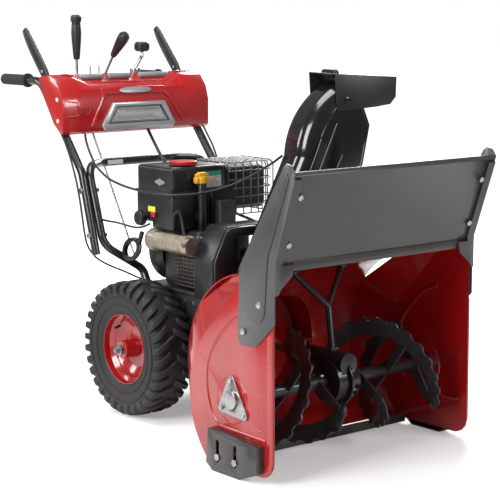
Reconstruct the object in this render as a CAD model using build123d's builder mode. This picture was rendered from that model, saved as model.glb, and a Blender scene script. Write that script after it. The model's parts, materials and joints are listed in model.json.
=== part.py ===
from build123d import *
import math
import os

os.makedirs("parts", exist_ok=True)

# Two-stage snow blower. Millimetres, +Z up, the mouth of the auger housing faces -Y and the
# operator's left is +X. The origin is on the ground, under the middle of the machine.

# Driving dimensions
sheet = 3.0                  # pressed steel of the housing and frame
housing_half = 353.0         # centre to the outer face of a housing side
shoulder_half = 300.0        # centre to where the rounded shoulder meets the wrap
auger_y = -530.0             # auger shaft
auger_z = 200.0
auger_radius = 155.0
shaft_radius = 12.5
running_gap = 0.05           # radial clearance of a shaft in its bearing
mouth_y = auger_y - 158.0    # front edge of the housing
ground_gap = 17.0            # bottom edge of the housing above the ground
wrap_y = auger_y             # centre of the rounded back of the housing
wrap_z = 250.0
wrap_radius = 273.0
impeller_z = 250.0
impeller_radius = 146.0
drum_radius = 155.0
drum_back = auger_y + 362.0
chute_y = auger_y + 282.0
collar_radius = 76.0
collar_top = 455.0
chute_turn = 78.0            # degrees from straight ahead, towards the operator's left
axle_y = auger_y + 683.0
axle_z = 202.0
tyre_radius = 202.0
tyre_inner = 118.0           # centre to the inner wall of a tyre
tyre_width = 125.0
rim_radius = 106.0
frame_half = 92.0
frame_front = drum_back + 3.0
frame_back = auger_y + 800.0
frame_bottom = 120.0
frame_top = 372.0
bulkhead_y = auger_y + 470.0
crank_z = 478.0
engine_front = auger_y + 556.0
engine_back = auger_y + 740.0
tube_radius = 12.5
grip_x = 250.0
grip_z = 981.0
leg_x = 224.0
panel_half = 275.0

hands = ((-1, "right"), (1, "left"))


# Helpers: each adds a shape to the part that is being built.
def bar(start, end, radius, mode=Mode.ADD):
    """Round bar from start to end."""
    along = Vector(*end) - Vector(*start)
    with BuildSketch(Plane(origin=start, z_dir=along)) as section:
        Circle(radius)
    extrude(section.sketch, amount=along.length, mode=mode)


def block(low, high, mode=Mode.ADD):
    """Box between two corners."""
    size = [high[i] - low[i] for i in range(3)]
    middle = [(high[i] + low[i]) / 2 for i in range(3)]
    with Locations(tuple(middle)):
        Box(*size, mode=mode)


def disc(centre, axis, radius, length, mode=Mode.ADD):
    """Cylinder that starts at centre and runs along axis."""
    with BuildSketch(Plane(origin=centre, z_dir=axis)) as section:
        Circle(radius)
    extrude(section.sketch, amount=length, mode=mode)


def hex_bolt(point, out, across, head, shank):
    """Hexagon bolt head standing on a surface at point, with its shank going in."""
    with BuildSketch(Plane(origin=point, z_dir=out)) as section:
        RegularPolygon(across / math.sqrt(3), 6)
    extrude(section.sketch, amount=head)
    if shank:
        with BuildSketch(Plane(origin=point, z_dir=out)) as stem:
            Circle(across * 0.29)
        extrude(stem.sketch, amount=-shank)


def arc_points(centre_y, centre_z, radius, degrees):
    """Point of a circle in the YZ plane; degrees are measured from +Y towards +Z."""
    turn = math.radians(degrees)
    return (centre_y + radius * math.cos(turn), centre_z + radius * math.sin(turn))


def slab(plane, corners, amount, both=False):
    """Flat plate with a polygonal outline."""
    with BuildSketch(plane) as section:
        with BuildLine():
            Polyline(*corners, close=True)
        make_face()
    extrude(section.sketch, amount=amount, both=both)


def smooth_tube(points, radii, radius):
    """Tube along straight runs joined by tangent arcs."""
    with BuildLine() as route:
        FilletPolyline(*points, radius=radii)
    path = route.wires()[0]
    with BuildSketch(Plane(origin=path @ 0, z_dir=path % 0)) as section:
        Circle(radius)
    sweep(section.sketch, path=path)


def cable_radii(points):
    """Arc radii for a cable's corners: as large as the two runs allow."""
    vectors = [Vector(*p) for p in points]
    radii = []
    for i in range(1, len(vectors) - 1):
        before = vectors[i] - vectors[i - 1]
        after = vectors[i + 1] - vectors[i]
        turn = math.radians(before.get_angle(after))
        radii.append(0.45 * min(before.length, after.length) / math.tan(turn / 2))
    return radii


# ---------------------------------------------------------------- auger housing
def wrap_outline(inset, front, bottom):
    """Closed YZ outline of the housing's rounded back: a sloping top, then one long arc."""
    top = arc_points(wrap_y, wrap_z, wrap_radius - inset, 77)
    middle = arc_points(wrap_y, wrap_z, wrap_radius - inset, 10)
    low = arc_points(wrap_y, wrap_z, wrap_radius - inset, -58.6)
    rise = (top[0] - front) * math.tan(math.radians(13))
    with BuildLine() as edge:
        Polyline((front, bottom), (front, top[1] + rise), top)
        ThreePointArc(top, middle, low)
        Polyline(low, (low[0], bottom), (front, bottom))
    make_face(edge.edges())


with BuildPart() as housing_wrap:
    with BuildSketch(Plane.YZ):
        wrap_outline(0, mouth_y, ground_gap - 1)
    extrude(amount=shoulder_half - 0.2, both=True)
    with BuildSketch(Plane.YZ):
        wrap_outline(sheet, mouth_y - 40, -20)
    extrude(amount=shoulder_half + 10, both=True, mode=Mode.SUBTRACT)
    disc((0, auger_y + 100, impeller_z), (0, 1, 0), drum_radius - 5, 200, mode=Mode.SUBTRACT)
housing_wrap.part.label = "housing_wrap"
export_step(housing_wrap.part, "parts/housing_wrap.step")


def flank_outline(outer, inset, front, bottom):
    """Outline of a housing side: outer is the shoulder's edge, otherwise the flat panel's edge."""
    slope = math.tan(math.radians(13))
    top = arc_points(wrap_y, wrap_z, wrap_radius, 77)
    if outer:
        crest = (top[0], top[1] - inset)
        back = arc_points(wrap_y, wrap_z, wrap_radius - inset, 38)
        middle = arc_points(wrap_y, wrap_z, wrap_radius - inset, -10)
        low = arc_points(wrap_y, wrap_z, wrap_radius - inset, -58.6)
    else:
        crest = (auger_y - 49, top[1] + (top[0] - auger_y + 49) * slope - inset)
        back = (auger_y + 127 - inset, 353 - inset)
        middle = (auger_y + 194 - inset, 196)
        low = (auger_y + 118 - inset, ground_gap)
    peak = (front, crest[1] + (crest[0] - front) * slope)
    corner = 50.0
    with BuildLine() as edge:
        Polyline((front, bottom + corner), peak, crest, back)
        ThreePointArc(back, middle, low)
        Polyline(low, (low[0] - 1, bottom), (front + corner, bottom))
        turn = corner * (1 - math.sqrt(0.5))
        ThreePointArc((front + corner, bottom), (front + turn, bottom + turn), (front, bottom + corner))
    make_face(edge.edges())


with BuildPart() as housing_sides:
    for side in (-1, 1):
        with BuildSketch(Plane.YZ.offset(side * housing_half)) as panel_edge:
            flank_outline(False, 0, mouth_y, ground_gap - 1)
        with BuildSketch(Plane.YZ.offset(side * shoulder_half)) as shoulder_edge:
            flank_outline(True, 0, mouth_y, ground_gap - 1)
        loft([panel_edge.sketch, shoulder_edge.sketch], ruled=True)
        with BuildSketch(Plane.YZ.offset(side * (housing_half - sheet))) as near_hollow:
            flank_outline(False, sheet, mouth_y - 60, -40)
        with BuildSketch(Plane.YZ.offset(side * (shoulder_half - 2))) as far_hollow:
            flank_outline(True, sheet, mouth_y - 60, -40)
        loft([near_hollow.sketch, far_hollow.sketch], ruled=True, mode=Mode.SUBTRACT)
        disc((side * (housing_half - 10), auger_y, auger_z), (side, 0, 0), 24, 20, mode=Mode.SUBTRACT)
housing_sides.part.label = "housing_sides"
export_step(housing_sides.part, "parts/housing_sides.step")

# Impeller drum with its back wall and the round collar that carries the chute.
with BuildPart() as impeller_drum:
    disc((0, auger_y + 150, impeller_z), (0, 1, 0), drum_radius, drum_back - auger_y - 150)
    disc((0, auger_y + 140, impeller_z), (0, 1, 0), drum_radius - sheet, drum_back - auger_y - 143,
         mode=Mode.SUBTRACT)
    disc((0, chute_y, impeller_z), (0, 0, 1), collar_radius, collar_top - impeller_z)
    disc((0, auger_y + 140, impeller_z), (0, 1, 0), drum_radius - sheet, drum_back - auger_y - 143,
         mode=Mode.SUBTRACT)
    disc((0, chute_y, impeller_z + 40), (0, 0, 1), collar_radius - sheet, 200, mode=Mode.SUBTRACT)
    disc((0, drum_back - 10, impeller_z), (0, 1, 0), shaft_radius + running_gap, 30, mode=Mode.SUBTRACT)
    with BuildSketch(Plane.YZ):
        wrap_outline(-0.2, mouth_y, -20)
    extrude(amount=shoulder_half, both=True, mode=Mode.SUBTRACT)
impeller_drum.part.label = "impeller_drum"
export_step(impeller_drum.part, "parts/impeller_drum.step")

with BuildPart() as scraper_bar:
    block((-344, auger_y + 78, ground_gap - 9), (344, auger_y + 136, ground_gap - 2))
    block((-344, auger_y + 78, ground_gap - 2), (344, auger_y + 83, ground_gap + 16))
scraper_bar.part.label = "scraper_bar"
export_step(scraper_bar.part, "parts/scraper_bar.step")

# Skid shoes: pressed pans with an upturned nose and heel, bolted through two upright slots.
skid_y = auger_y - 14.0
skid_slots = (auger_y + 41.0, auger_y - 32.0)
skid_face = housing_half + 26.0


def skid_outline(inset):
    """Side view of a shoe: flat sole, rising nose and heel."""
    with BuildLine() as edge:
        Polyline((skid_y + 104 - inset, 18 + inset), (skid_y + 76, inset), (skid_y - 34, inset),
                 (skid_y - 106 + inset, 28 + inset), (skid_y - 106 + inset, 99 - inset),
                 (skid_y + 96 - inset, 112 - inset), close=True)
    make_face(edge.edges())


with BuildPart() as skid_shoes:
    for side in (-1, 1):
        with BuildSketch(Plane.YZ.offset(side * (housing_half + 0.5))) as shoe_edge:
            skid_outline(0)
        extrude(shoe_edge.sketch, amount=side * 25.5)
        with BuildSketch(Plane.YZ.offset(side * (housing_half + 0.5))) as shoe_hollow:
            skid_outline(5)
        extrude(shoe_hollow.sketch, amount=side * 20.5, mode=Mode.SUBTRACT)
        with BuildSketch(Plane.YZ.offset(side * housing_half)) as slots:
            with Locations((skid_slots[0], 57), (skid_slots[1], 57)):
                SlotOverall(60, 13, rotation=90)
        extrude(slots.sketch, amount=side * 40, mode=Mode.SUBTRACT)
skid_shoes.part.label = "skid_shoes"
export_step(skid_shoes.part, "parts/skid_shoes.step")

# Outer auger bearings: a three-lobed cast flange with a closed boss.
bearing_bolts = ((10.0, 48.0), (-42.0, -36.0), (50.0, -30.0))
with BuildPart() as auger_bearings:
    for side in (-1, 1):
        with BuildSketch(Plane.YZ.offset(side * (housing_half + 0.3))) as lobes:
            with Locations(*[(auger_y + y, auger_z + z) for y, z in bearing_bolts]):
                Circle(13)
            make_hull()
        extrude(lobes.sketch, amount=side * 5)
        disc((side * (housing_half + 5), auger_y, auger_z), (side, 0, 0), 25, 13)
        disc((side * (housing_half - 20), auger_y, auger_z), (side, 0, 0), 23.5, 22)
        disc((side * (housing_half - 30), auger_y, auger_z), (side, 0, 0), shaft_radius + running_gap, 41,
             mode=Mode.SUBTRACT)
auger_bearings.part.label = "auger_bearings"
export_step(auger_bearings.part, "parts/auger_bearings.step")

# ---------------------------------------------------------------- auger and gearbox
worm_wheel_radius = 36.5
worm_radius = 13.0
gearbox_half = 38.0
ribbon_width = 46.0
ribbon_length = 236.0
ribbon_start = 66.0

with BuildPart() as auger_shaft:
    disc((-housing_half - 8, auger_y, auger_z), (1, 0, 0), shaft_radius, 2 * (housing_half + 8))
    disc((-12, auger_y, auger_z), (1, 0, 0), worm_wheel_radius, 24)
auger_shaft.part.label = "auger_shaft_and_worm_wheel"
export_step(auger_shaft.part, "parts/auger_shaft_and_worm_wheel.step")

auger_axis = Axis((0, auger_y, auger_z), (1, 0, 0))
for side, hand in hands:
    with BuildPart() as auger_ribbon:
        disc((side * 46, auger_y, auger_z), (side, 0, 0), 17, 280)
        for phase in (20, 200):
            with BuildLine() as coil:
                Helix(pitch=ribbon_length / 0.62, height=ribbon_length, radius=auger_radius - ribbon_width / 2,
                      center=(side * ribbon_start, auger_y, auger_z), direction=(side, 0, 0),
                      lefthand=side < 0)
            path = coil.edges()[0].rotate(auger_axis, phase)
            start = path @ 0
            outward = (start - Vector(side * ribbon_start, auger_y, auger_z)).normalized()
            with BuildSketch(Plane(origin=start, x_dir=outward, z_dir=path % 0)) as flat:
                Rectangle(ribbon_width, 6)
            sweep(flat.sketch, path=path, is_frenet=True)
            for share in (0.04, 0.5, 0.96):
                point = path @ share
                bar((point.X, auger_y, auger_z), (point.X, point.Y, point.Z), 7)
        disc((side * 40, auger_y, auger_z), (side, 0, 0), shaft_radius + running_gap, 300,
             mode=Mode.SUBTRACT)
        disc((side * 54, auger_y, auger_z + 16), (0, 0, 1), 6, 8)
        disc((side * 54, auger_y, auger_z - 16), (0, 0, -1), 6, 8)
    auger_ribbon.part.label = f"auger_ribbon_{hand}"
    export_step(auger_ribbon.part, f"parts/auger_ribbon_{hand}.step")

with BuildPart() as auger_gearbox:
    disc((-gearbox_half, auger_y, auger_z), (1, 0, 0), 58, 2 * gearbox_half)
    disc((0, auger_y - 52, impeller_z), (0, 1, 0), 30, 152)
    disc((-4, auger_y, auger_z), (1, 0, 0), 72, 8)
    disc((-gearbox_half + 5, auger_y, auger_z), (1, 0, 0), 50, 2 * gearbox_half - 10, mode=Mode.SUBTRACT)
    disc((0, auger_y - 46, impeller_z), (0, 1, 0), 24, 140, mode=Mode.SUBTRACT)
    disc((-gearbox_half - 5, auger_y, auger_z), (1, 0, 0), shaft_radius + running_gap,
         2 * gearbox_half + 10, mode=Mode.SUBTRACT)
    disc((0, auger_y + 80, impeller_z), (0, 1, 0), shaft_radius + running_gap, 40, mode=Mode.SUBTRACT)
auger_gearbox.part.label = "auger_gearbox"
export_step(auger_gearbox.part, "parts/auger_gearbox.step")

# Y-shaped strap that holds the gearbox up from the roof of the housing.
with BuildPart() as gearbox_strap:
    fork = (0, auger_y + 32, 398)
    block((-13, auger_y + 4, impeller_z + 30.3), (13, auger_y + 30, impeller_z + 38))
    bar((0, auger_y + 16, impeller_z + 34), fork, 9)
    for side in (-1, 1):
        foot = (side * 90, auger_y + 78, 496)
        bar(fork, foot, 8)
        disc((foot[0], foot[1] - 2, 497), (0, -0.2, 1), 15, 4)
gearbox_strap.part.label = "gearbox_strap"
export_step(gearbox_strap.part, "parts/gearbox_strap.step")

with BuildPart() as impeller_shaft:
    disc((0, auger_y - 40, impeller_z), (0, 1, 0), worm_radius, 78)
    disc((0, auger_y + 38, impeller_z), (0, 1, 0), shaft_radius, 388)
    disc((0, auger_y + 402, impeller_z), (0, 1, 0), 84, 3)
    disc((0, auger_y + 405, impeller_z), (0, 1, 0), 72, 12)
    disc((0, auger_y + 417, impeller_z), (0, 1, 0), 84, 3)
impeller_shaft.part.label = "impeller_shaft_and_pulley"
export_step(impeller_shaft.part, "parts/impeller_shaft_and_pulley.step")

impeller_front = auger_y + 264.0
impeller_depth = 84.0
with BuildPart() as impeller:
    disc((0, impeller_front, impeller_z), (0, 1, 0), 24, impeller_depth)
    disc((0, impeller_front + impeller_depth - 4, impeller_z), (0, 1, 0), impeller_radius - 20, 4)
    with BuildSketch(Plane(origin=(0, impeller_front, impeller_z), x_dir=(1, 0, 0), z_dir=(0, 1, 0))):
        with PolarLocations(impeller_radius / 2 + 8, 4):
            Rectangle(impeller_radius - 16, 5)
        with PolarLocations(impeller_radius - 4, 4):
            with Locations((-2, 8)):
                Rectangle(5, 18)
    extrude(amount=impeller_depth)
    disc((0, impeller_front - 5, impeller_z), (0, 1, 0), shaft_radius + running_gap, 100,
         mode=Mode.SUBTRACT)
impeller.part.label = "impeller"
export_step(impeller.part, "parts/impeller.step")

# ---------------------------------------------------------------- housing extension
with BuildPart() as extension_sides:
    for side in (-1, 1):
        with BuildSketch(Plane.YZ.offset(side * (housing_half + 0.4))) as outline:
            with BuildLine():
                Polyline((auger_y - 165, 420), (auger_y - 165, 582), (auger_y - 245, 806),
                         (auger_y - 232, 824), (auger_y - 212, 829), (auger_y - 200, 820),
                         (auger_y - 26, 552), (auger_y - 18, 362), (auger_y - 34, 350),
                         (auger_y - 88, 353), (auger_y - 102, 362), close=True)
            make_face()
        extrude(outline.sketch, amount=side * sheet)
        with BuildSketch(Plane.YZ.offset(side * (housing_half + 0.4 - 22))) as lip:
            with BuildLine():
                Polyline((auger_y - 169, 567), (auger_y - 169, 582), (auger_y - 243.4, 790),
                         (auger_y - 239.6, 791), (auger_y - 165, 583), (auger_y - 165, 567), close=True)
            make_face()
        extrude(lip.sketch, amount=side * (22 + sheet))
        slab(Plane(origin=(0, auger_y - 165, 0), x_dir=(1, 0, 0), z_dir=(0, -1, 0)),
             ((side * 356, 495), (side * 347, 495), (side * 337, 510), (side * 301, 540),
              (side * 296, 568), (side * 356, 568)), 4)
extension_sides.part.label = "extension_sides"
export_step(extension_sides.part, "parts/extension_sides.step")

panel_low = (auger_y - 159.0, 569.0)
panel_high = (auger_y - 240.0, 797.0)
with BuildPart() as extension_panel:
    slab(Plane.YZ.offset(-352),
         (panel_low, panel_high, (panel_high[0] - 5, panel_high[1] + 1),
          (panel_high[0] - 2, panel_high[1] + 9), (panel_high[0] + 6, panel_high[1] + 8),
          (panel_high[0] + 3, panel_high[1] + 1), (panel_low[0] + 4, panel_low[1] + 3),
          (panel_low[0] + 26, panel_low[1] - 4), (panel_low[0] + 26, panel_low[1] - 7)), 704)
    block((-294, panel_low[0] - 5, 551), (294, panel_low[0] - 1.6, panel_low[1] + 5))
extension_panel.part.label = "extension_panel"
export_step(extension_panel.part, "parts/extension_panel.step")

panel_out = Vector(0, -234, -82).normalized()
with BuildPart() as bolts:
    for side in (-1, 1):
        for x, y, z in ((322, auger_y - 221.5, 744), (323, auger_y - 178, 621)):
            disc((side * x, y - 1.6, z), panel_out, 8, 4)
        for y, z in ((-105, 464), (-41, 386)):
            disc((side * (housing_half + 3.6), auger_y + y, z), (side, 0, 0), 9, 4)
        for slot_y in skid_slots:
            disc((side * (skid_face + 0.2), slot_y, 41), (side, 0, 0), 9.5, 4)
            disc((side * (housing_half + 0.3), slot_y, 41), (side, 0, 0), 5, 26)
        for y, z in bearing_bolts:
            hex_bolt((side * (housing_half + 5.5), auger_y + y, auger_z + z), (side, 0, 0), 13, 5, 0)
        for y, z in ((560, 350), (520, 345), (500, 290), (500, 200)):
            hex_bolt((side * (frame_half + 0.2), auger_y + y, z), (side, 0, 0), 13, 6, 0)
        for y, z in ((808, 530), (847, 662)):
            disc((side * (grip_x + 12.7), auger_y + y, z), (side, 0, 0), 9, 5)
            disc((side * (leg_x - 12.7), auger_y + y, z), (-side, 0, 0), 7, 8)
    for degrees in (-150, -105, 150, 195, 240):
        y, z = arc_points(auger_y, auger_z, 66, degrees)
        hex_bolt((4.2, y, z), (1, 0, 0), 9, 6, 0)
bolts.part.label = "bolts"
export_step(bolts.part, "parts/bolts.step")

# ---------------------------------------------------------------- chute
turn = math.radians(chute_turn)
throw = Vector(math.sin(turn), -math.cos(turn), 0)
chute_plane = Plane(origin=(0, chute_y, 0), x_dir=throw, z_dir=Vector(-math.cos(turn), -math.sin(turn), 0))
chute_half = 72.0
gear_teeth = 36

with BuildPart() as chute_ring:
    with BuildSketch(Plane(origin=(0, chute_y, collar_top + 0.4))):
        Circle(86)
        with PolarLocations(87, gear_teeth):
            Rectangle(7, 6)
        Circle(collar_radius - 3, mode=Mode.SUBTRACT)
    extrude(amount=14)
chute_ring.part.label = "chute_ring_gear"
export_step(chute_ring.part, "parts/chute_ring_gear.step")

chute_low = collar_top + 14.6


def chute_outline(inset, drop, reach):
    """Side view of the chute: a leaning back that curls over, and an open front."""
    foot = (-78 + inset, chute_low - drop)
    crown = (209, 997 - inset)
    with BuildLine() as edge:
        Polyline(foot, (66 + inset, 789))
        ThreePointArc((66 + inset, 789), (124 + inset * 0.8, 933 - inset * 0.3), crown)
        Polyline(crown, (236 + reach, 984 - inset), (280 + reach, 872), (258 + reach, 762),
                 (78 + reach, chute_low - drop), foot)
    make_face(edge.edges())


def chute_body(inset, drop, reach, half, bend):
    """Chute solid with its two back corners rounded."""
    with BuildPart() as body:
        with BuildSketch(chute_plane):
            chute_outline(inset, drop, reach)
        extrude(amount=half, both=True)
        back = body.faces().filter_by(GeomType.CYLINDER).sort_by(Axis.Z)[-1]
        spine = body.faces().sort_by_distance(chute_plane.from_local_coords((-10 + inset, 620, 0)))[0]
        rims = [e for e in back.edges() + spine.edges()
                if abs(chute_plane.to_local_coords(e.center()).Z) > half - 1]
        fillet(rims, radius=bend)
    return body.part


shell = chute_body(0, 0, 0, chute_half, 46) - chute_body(4, 10, 60, chute_half - 4, 42)
with BuildPart() as chute:
    add(shell)
    for face in (-1, 1):
        pivot = chute_plane.from_local_coords((205, 945, face * (chute_half + 4.7)))
        disc(tuple(pivot), tuple(chute_plane.z_dir * face), 9, 5)
chute.part.label = "chute"
export_step(chute.part, "parts/chute.step")

with BuildPart() as deflector:
    for face in (-1, 1):
        plate_plane = chute_plane.offset(face * (chute_half + 1.5))
        slab(plate_plane, ((168, 1020), (369, 1007), (367, 950), (349, 930), (304, 924), (175, 914)),
             face * 3)
    slab(chute_plane.offset(-chute_half - 4), ((168, 1016.5), (168, 1020), (369, 1007), (369, 1003.5)),
         2 * chute_half + 8)
deflector.part.label = "deflector"
export_step(deflector.part, "parts/deflector.step")

# Worm box that turns the ring gear, on a bracket on the drum's back.
with BuildPart() as chute_drive:
    block((96, chute_y - 8, 434), (140, chute_y + 42, 468))
    disc((140, chute_y + 17, 449), (1, 0, 0), 12, 24)
    block((96, chute_y + 12, 373), (104, chute_y + 42, 436))
chute_drive.part.label = "chute_drive_box"
export_step(chute_drive.part, "parts/chute_drive_box.step")

# ---------------------------------------------------------------- frame and running gear
with BuildPart() as frame_box:
    block((-frame_half, frame_front, frame_bottom), (frame_half, frame_back, frame_top))
    block((-frame_half + sheet, frame_front - 5, frame_bottom - 5),
          (frame_half - sheet, bulkhead_y - sheet, frame_top + 5), mode=Mode.SUBTRACT)
    block((-frame_half + sheet, bulkhead_y, frame_bottom - 5),
          (frame_half - sheet, frame_back - sheet, frame_top - sheet), mode=Mode.SUBTRACT)
    disc((-frame_half - 5, axle_y, axle_z), (1, 0, 0), 12.7 + running_gap, 2 * frame_half + 10,
         mode=Mode.SUBTRACT)
    disc((-frame_half - 5, auger_y + 600, 260), (1, 0, 0), 10 + running_gap, 2 * frame_half + 10,
         mode=Mode.SUBTRACT)
    disc((0, bulkhead_y - 20, 260), (0, 1, 0), 10 + running_gap, 40, mode=Mode.SUBTRACT)
    block((-frame_half + 3, auger_y + 764, frame_top - 8), (-74, auger_y + 796, frame_top + 5),
          mode=Mode.SUBTRACT)
    block((-frame_half, bulkhead_y, frame_bottom - 3.4), (frame_half, frame_back, frame_bottom - 0.4))
frame_box.part.label = "frame_box"
export_step(frame_box.part, "parts/frame_box.step")

with BuildPart() as axle:
    disc((-256, axle_y, axle_z), (1, 0, 0), 12.7, 512)
    disc((58, axle_y, axle_z), (1, 0, 0), 78, 9)
    for side in (-1, 1):
        hex_bolt((side * 256, axle_y, axle_z), (side, 0, 0), 17, 7, 0)
axle.part.label = "axle_and_final_gear"
export_step(axle.part, "parts/axle_and_final_gear.step")

wheel_middle = tyre_inner + tyre_width / 2
radial = Plane(origin=(0, axle_y, axle_z), x_dir=(1, 0, 0), z_dir=(0, -1, 0))
spin_axis = Axis((0, axle_y, axle_z), (1, 0, 0))
with BuildPart() as tyres:
    for side in (-1, 1):
        with BuildSketch(radial) as section:
            with Locations((side * wheel_middle, (tyre_radius + rim_radius) / 2)):
                RectangleRounded(tyre_width, tyre_radius - rim_radius, 24)
            with Locations((side * wheel_middle, (tyre_radius + rim_radius) / 2 - 12)):
                RectangleRounded(tyre_width - 20, tyre_radius - rim_radius - 28, 18, mode=Mode.SUBTRACT)
            with Locations((side * wheel_middle, rim_radius)):
                Rectangle(tyre_width - 44, 30, mode=Mode.SUBTRACT)
        revolve(section.sketch, axis=spin_axis)
tyres.part.label = "tyres"
export_step(tyres.part, "parts/tyres.step")

inner = tyre_inner + 14
outer = tyre_inner + tyre_width - 10
rim_section = ((inner, 103), (inner, 105.7), (inner + 22, 105.7), (inner + 30, 96), (outer - 30, 96),
               (outer - 22, 105.7), (outer, 105.7), (outer, 103), (outer - 20, 103), (outer - 28, 90),
               (outer - 36, 84), (outer - 50, 60), (outer - 50, 27), (outer + 6, 27), (outer + 6, 12.9),
               (inner + 4, 12.9), (inner + 4, 27), (outer - 54, 27), (outer - 54, 62), (outer - 42, 86),
               (outer - 36, 93), (inner + 28, 93), (inner + 20, 103))
with BuildPart() as wheel_rims:
    for side in (-1, 1):
        with BuildSketch(radial) as section:
            with BuildLine():
                Polyline(*[(side * x, r) for x, r in rim_section], close=True)
            make_face()
        revolve(section.sketch, axis=spin_axis)
wheel_rims.part.label = "wheel_rims"
export_step(wheel_rims.part, "parts/wheel_rims.step")

# Friction drive inside the frame.
disc_back = auger_y + 545.0
friction_y = auger_y + 600.0
with BuildPart() as drive_disc:
    disc((0, disc_back - 10, 260), (0, 1, 0), 80, 10)
    disc((0, auger_y + 431, 260), (0, 1, 0), 10, 110)
    disc((0, auger_y + 434, 260), (0, 1, 0), 62, 3)
    disc((0, auger_y + 437, 260), (0, 1, 0), 50, 10)
    disc((0, auger_y + 447, 260), (0, 1, 0), 62, 3)
drive_disc.part.label = "drive_disc_and_pulley"
export_step(drive_disc.part, "parts/drive_disc_and_pulley.step")

with BuildPart() as friction_shaft:
    disc((-frame_half - 4, friction_y, 260), (1, 0, 0), 10, 2 * frame_half + 8)
    disc((56, friction_y, 260), (1, 0, 0), 21, 13)
friction_shaft.part.label = "friction_shaft"
export_step(friction_shaft.part, "parts/friction_shaft.step")

with BuildPart() as friction_wheel:
    disc((-48, friction_y, 260), (1, 0, 0), 54.5, 12)
    disc((-60, friction_y, 260), (1, 0, 0), 20, 36)
    disc((-62, friction_y, 260), (1, 0, 0), 10 + running_gap, 40, mode=Mode.SUBTRACT)
friction_wheel.part.label = "friction_wheel"
export_step(friction_wheel.part, "parts/friction_wheel.step")

with BuildPart() as crankshaft:
    disc((0, auger_y + 396, crank_z), (0, 1, 0), shaft_radius, 320)
    for start, wall, groove in ((402, 38, 27), (434, 34, 23)):
        disc((0, auger_y + start, crank_z), (0, 1, 0), wall, 3)
        disc((0, auger_y + start + 3, crank_z), (0, 1, 0), groove, 12)
        disc((0, auger_y + start + 15, crank_z), (0, 1, 0), wall, 3)
    disc((0, engine_back - 56, crank_z), (0, 1, 0), 84, 26)
crankshaft.part.label = "crankshaft_and_flywheel"
export_step(crankshaft.part, "parts/crankshaft_and_flywheel.step")


def belt(y, low_z, low_radius, high_z, high_radius, thickness, width):
    """Closed V-belt around two pulleys, one above the other."""
    plane = Plane(origin=(0, y, 0), x_dir=(1, 0, 0), z_dir=(0, -1, 0))
    with BuildSketch(plane) as loop:
        with Locations((0, low_z)):
            Circle(low_radius + thickness)
        with Locations((0, high_z)):
            Circle(high_radius + thickness)
        make_hull()
    with BuildSketch(plane) as hollow:
        with Locations((0, low_z)):
            Circle(low_radius)
        with Locations((0, high_z)):
            Circle(high_radius)
        make_hull()
    extrude(loop.sketch, amount=-width)
    extrude(hollow.sketch, amount=-width, mode=Mode.SUBTRACT)


with BuildPart() as belts:
    belt(auger_y + 406, impeller_z, 72.4, crank_z, 27.4, 9, 10)
    belt(auger_y + 438, 260, 50.4, crank_z, 23.4, 8, 8)
belts.part.label = "drive_belts"
export_step(belts.part, "parts/drive_belts.step")

idler_pivot = (-72.0, 330.0)
idler_wheel = (-84.0, 392.5)
with BuildPart() as belt_idler:
    disc((idler_pivot[0], auger_y + 423, idler_pivot[1]), (0, 1, 0), 9, 8)
    disc((idler_wheel[0], auger_y + 404, idler_wheel[1]), (0, 1, 0), 20, 14)
    disc((idler_wheel[0], auger_y + 417, idler_wheel[1]), (0, 1, 0), 7, 7)
    slab(Plane(origin=(0, auger_y + 423, 0), x_dir=(1, 0, 0), z_dir=(0, -1, 0)),
         ((-80, 326), (-62, 326), (-75, 400), (-89, 400)), -4)
belt_idler.part.label = "belt_idler"
export_step(belt_idler.part, "parts/belt_idler.step")

cover_half = 135.0
cover_front = auger_y + 372.0
cover_back = auger_y + 460.0


def cover_outline(inset, bottom):
    """Front view of the belt cover: upright sides that lean in towards a narrow top."""
    with BuildLine() as edge:
        Polyline((-cover_half + inset, bottom), (cover_half - inset, bottom), (cover_half - inset, 492 - inset),
                 (92 - inset, 576 - inset), (78 - inset, 586 - inset), (-78 + inset, 586 - inset),
                 (-92 + inset, 576 - inset), (-cover_half + inset, 492 - inset), close=True)
    make_face(edge.edges())


with BuildPart() as belt_cover:
    with BuildSketch(Plane(origin=(0, cover_front, 0), x_dir=(1, 0, 0), z_dir=(0, -1, 0))):
        cover_outline(0, 376)
    extrude(amount=-(cover_back - cover_front))
    fillet(belt_cover.faces().sort_by(Axis.Y)[0].edges().filter_by(Axis.Z), radius=12)
    with BuildSketch(Plane(origin=(0, cover_front + 3, 0), x_dir=(1, 0, 0), z_dir=(0, -1, 0))):
        cover_outline(3, 366)
    extrude(amount=-(cover_back - cover_front) - 20, mode=Mode.SUBTRACT)
    disc((0, chute_y, 300), (0, 0, 1), collar_radius + 24, 300, mode=Mode.SUBTRACT)
belt_cover.part.label = "belt_cover"
export_step(belt_cover.part, "parts/belt_cover.step")

# ---------------------------------------------------------------- engine
engine_right = -140.0
with BuildPart() as crankcase:
    block((-88, auger_y + 484, frame_top + 8), (88, auger_y + 664, 556))
    fillet(crankcase.edges().filter_by(Axis.Y), radius=22)
    block((-104, auger_y + 500, frame_top + 0.3), (104, auger_y + 650, frame_top + 10))
    disc((0, auger_y + 472, crank_z), (0, 1, 0), 40, 14)
    for i in range(7):
        block((-106, auger_y + 500 + 12 * i, 400), (-86, auger_y + 505 + 12 * i, 494))
    block((10, auger_y + 520, 554), (60, auger_y + 640, 640))
    disc((0, auger_y + 460, crank_z), (0, 1, 0), shaft_radius + running_gap, 230, mode=Mode.SUBTRACT)
crankcase.part.label = "engine_crankcase"
export_step(crankcase.part, "parts/engine_crankcase.step")

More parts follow.
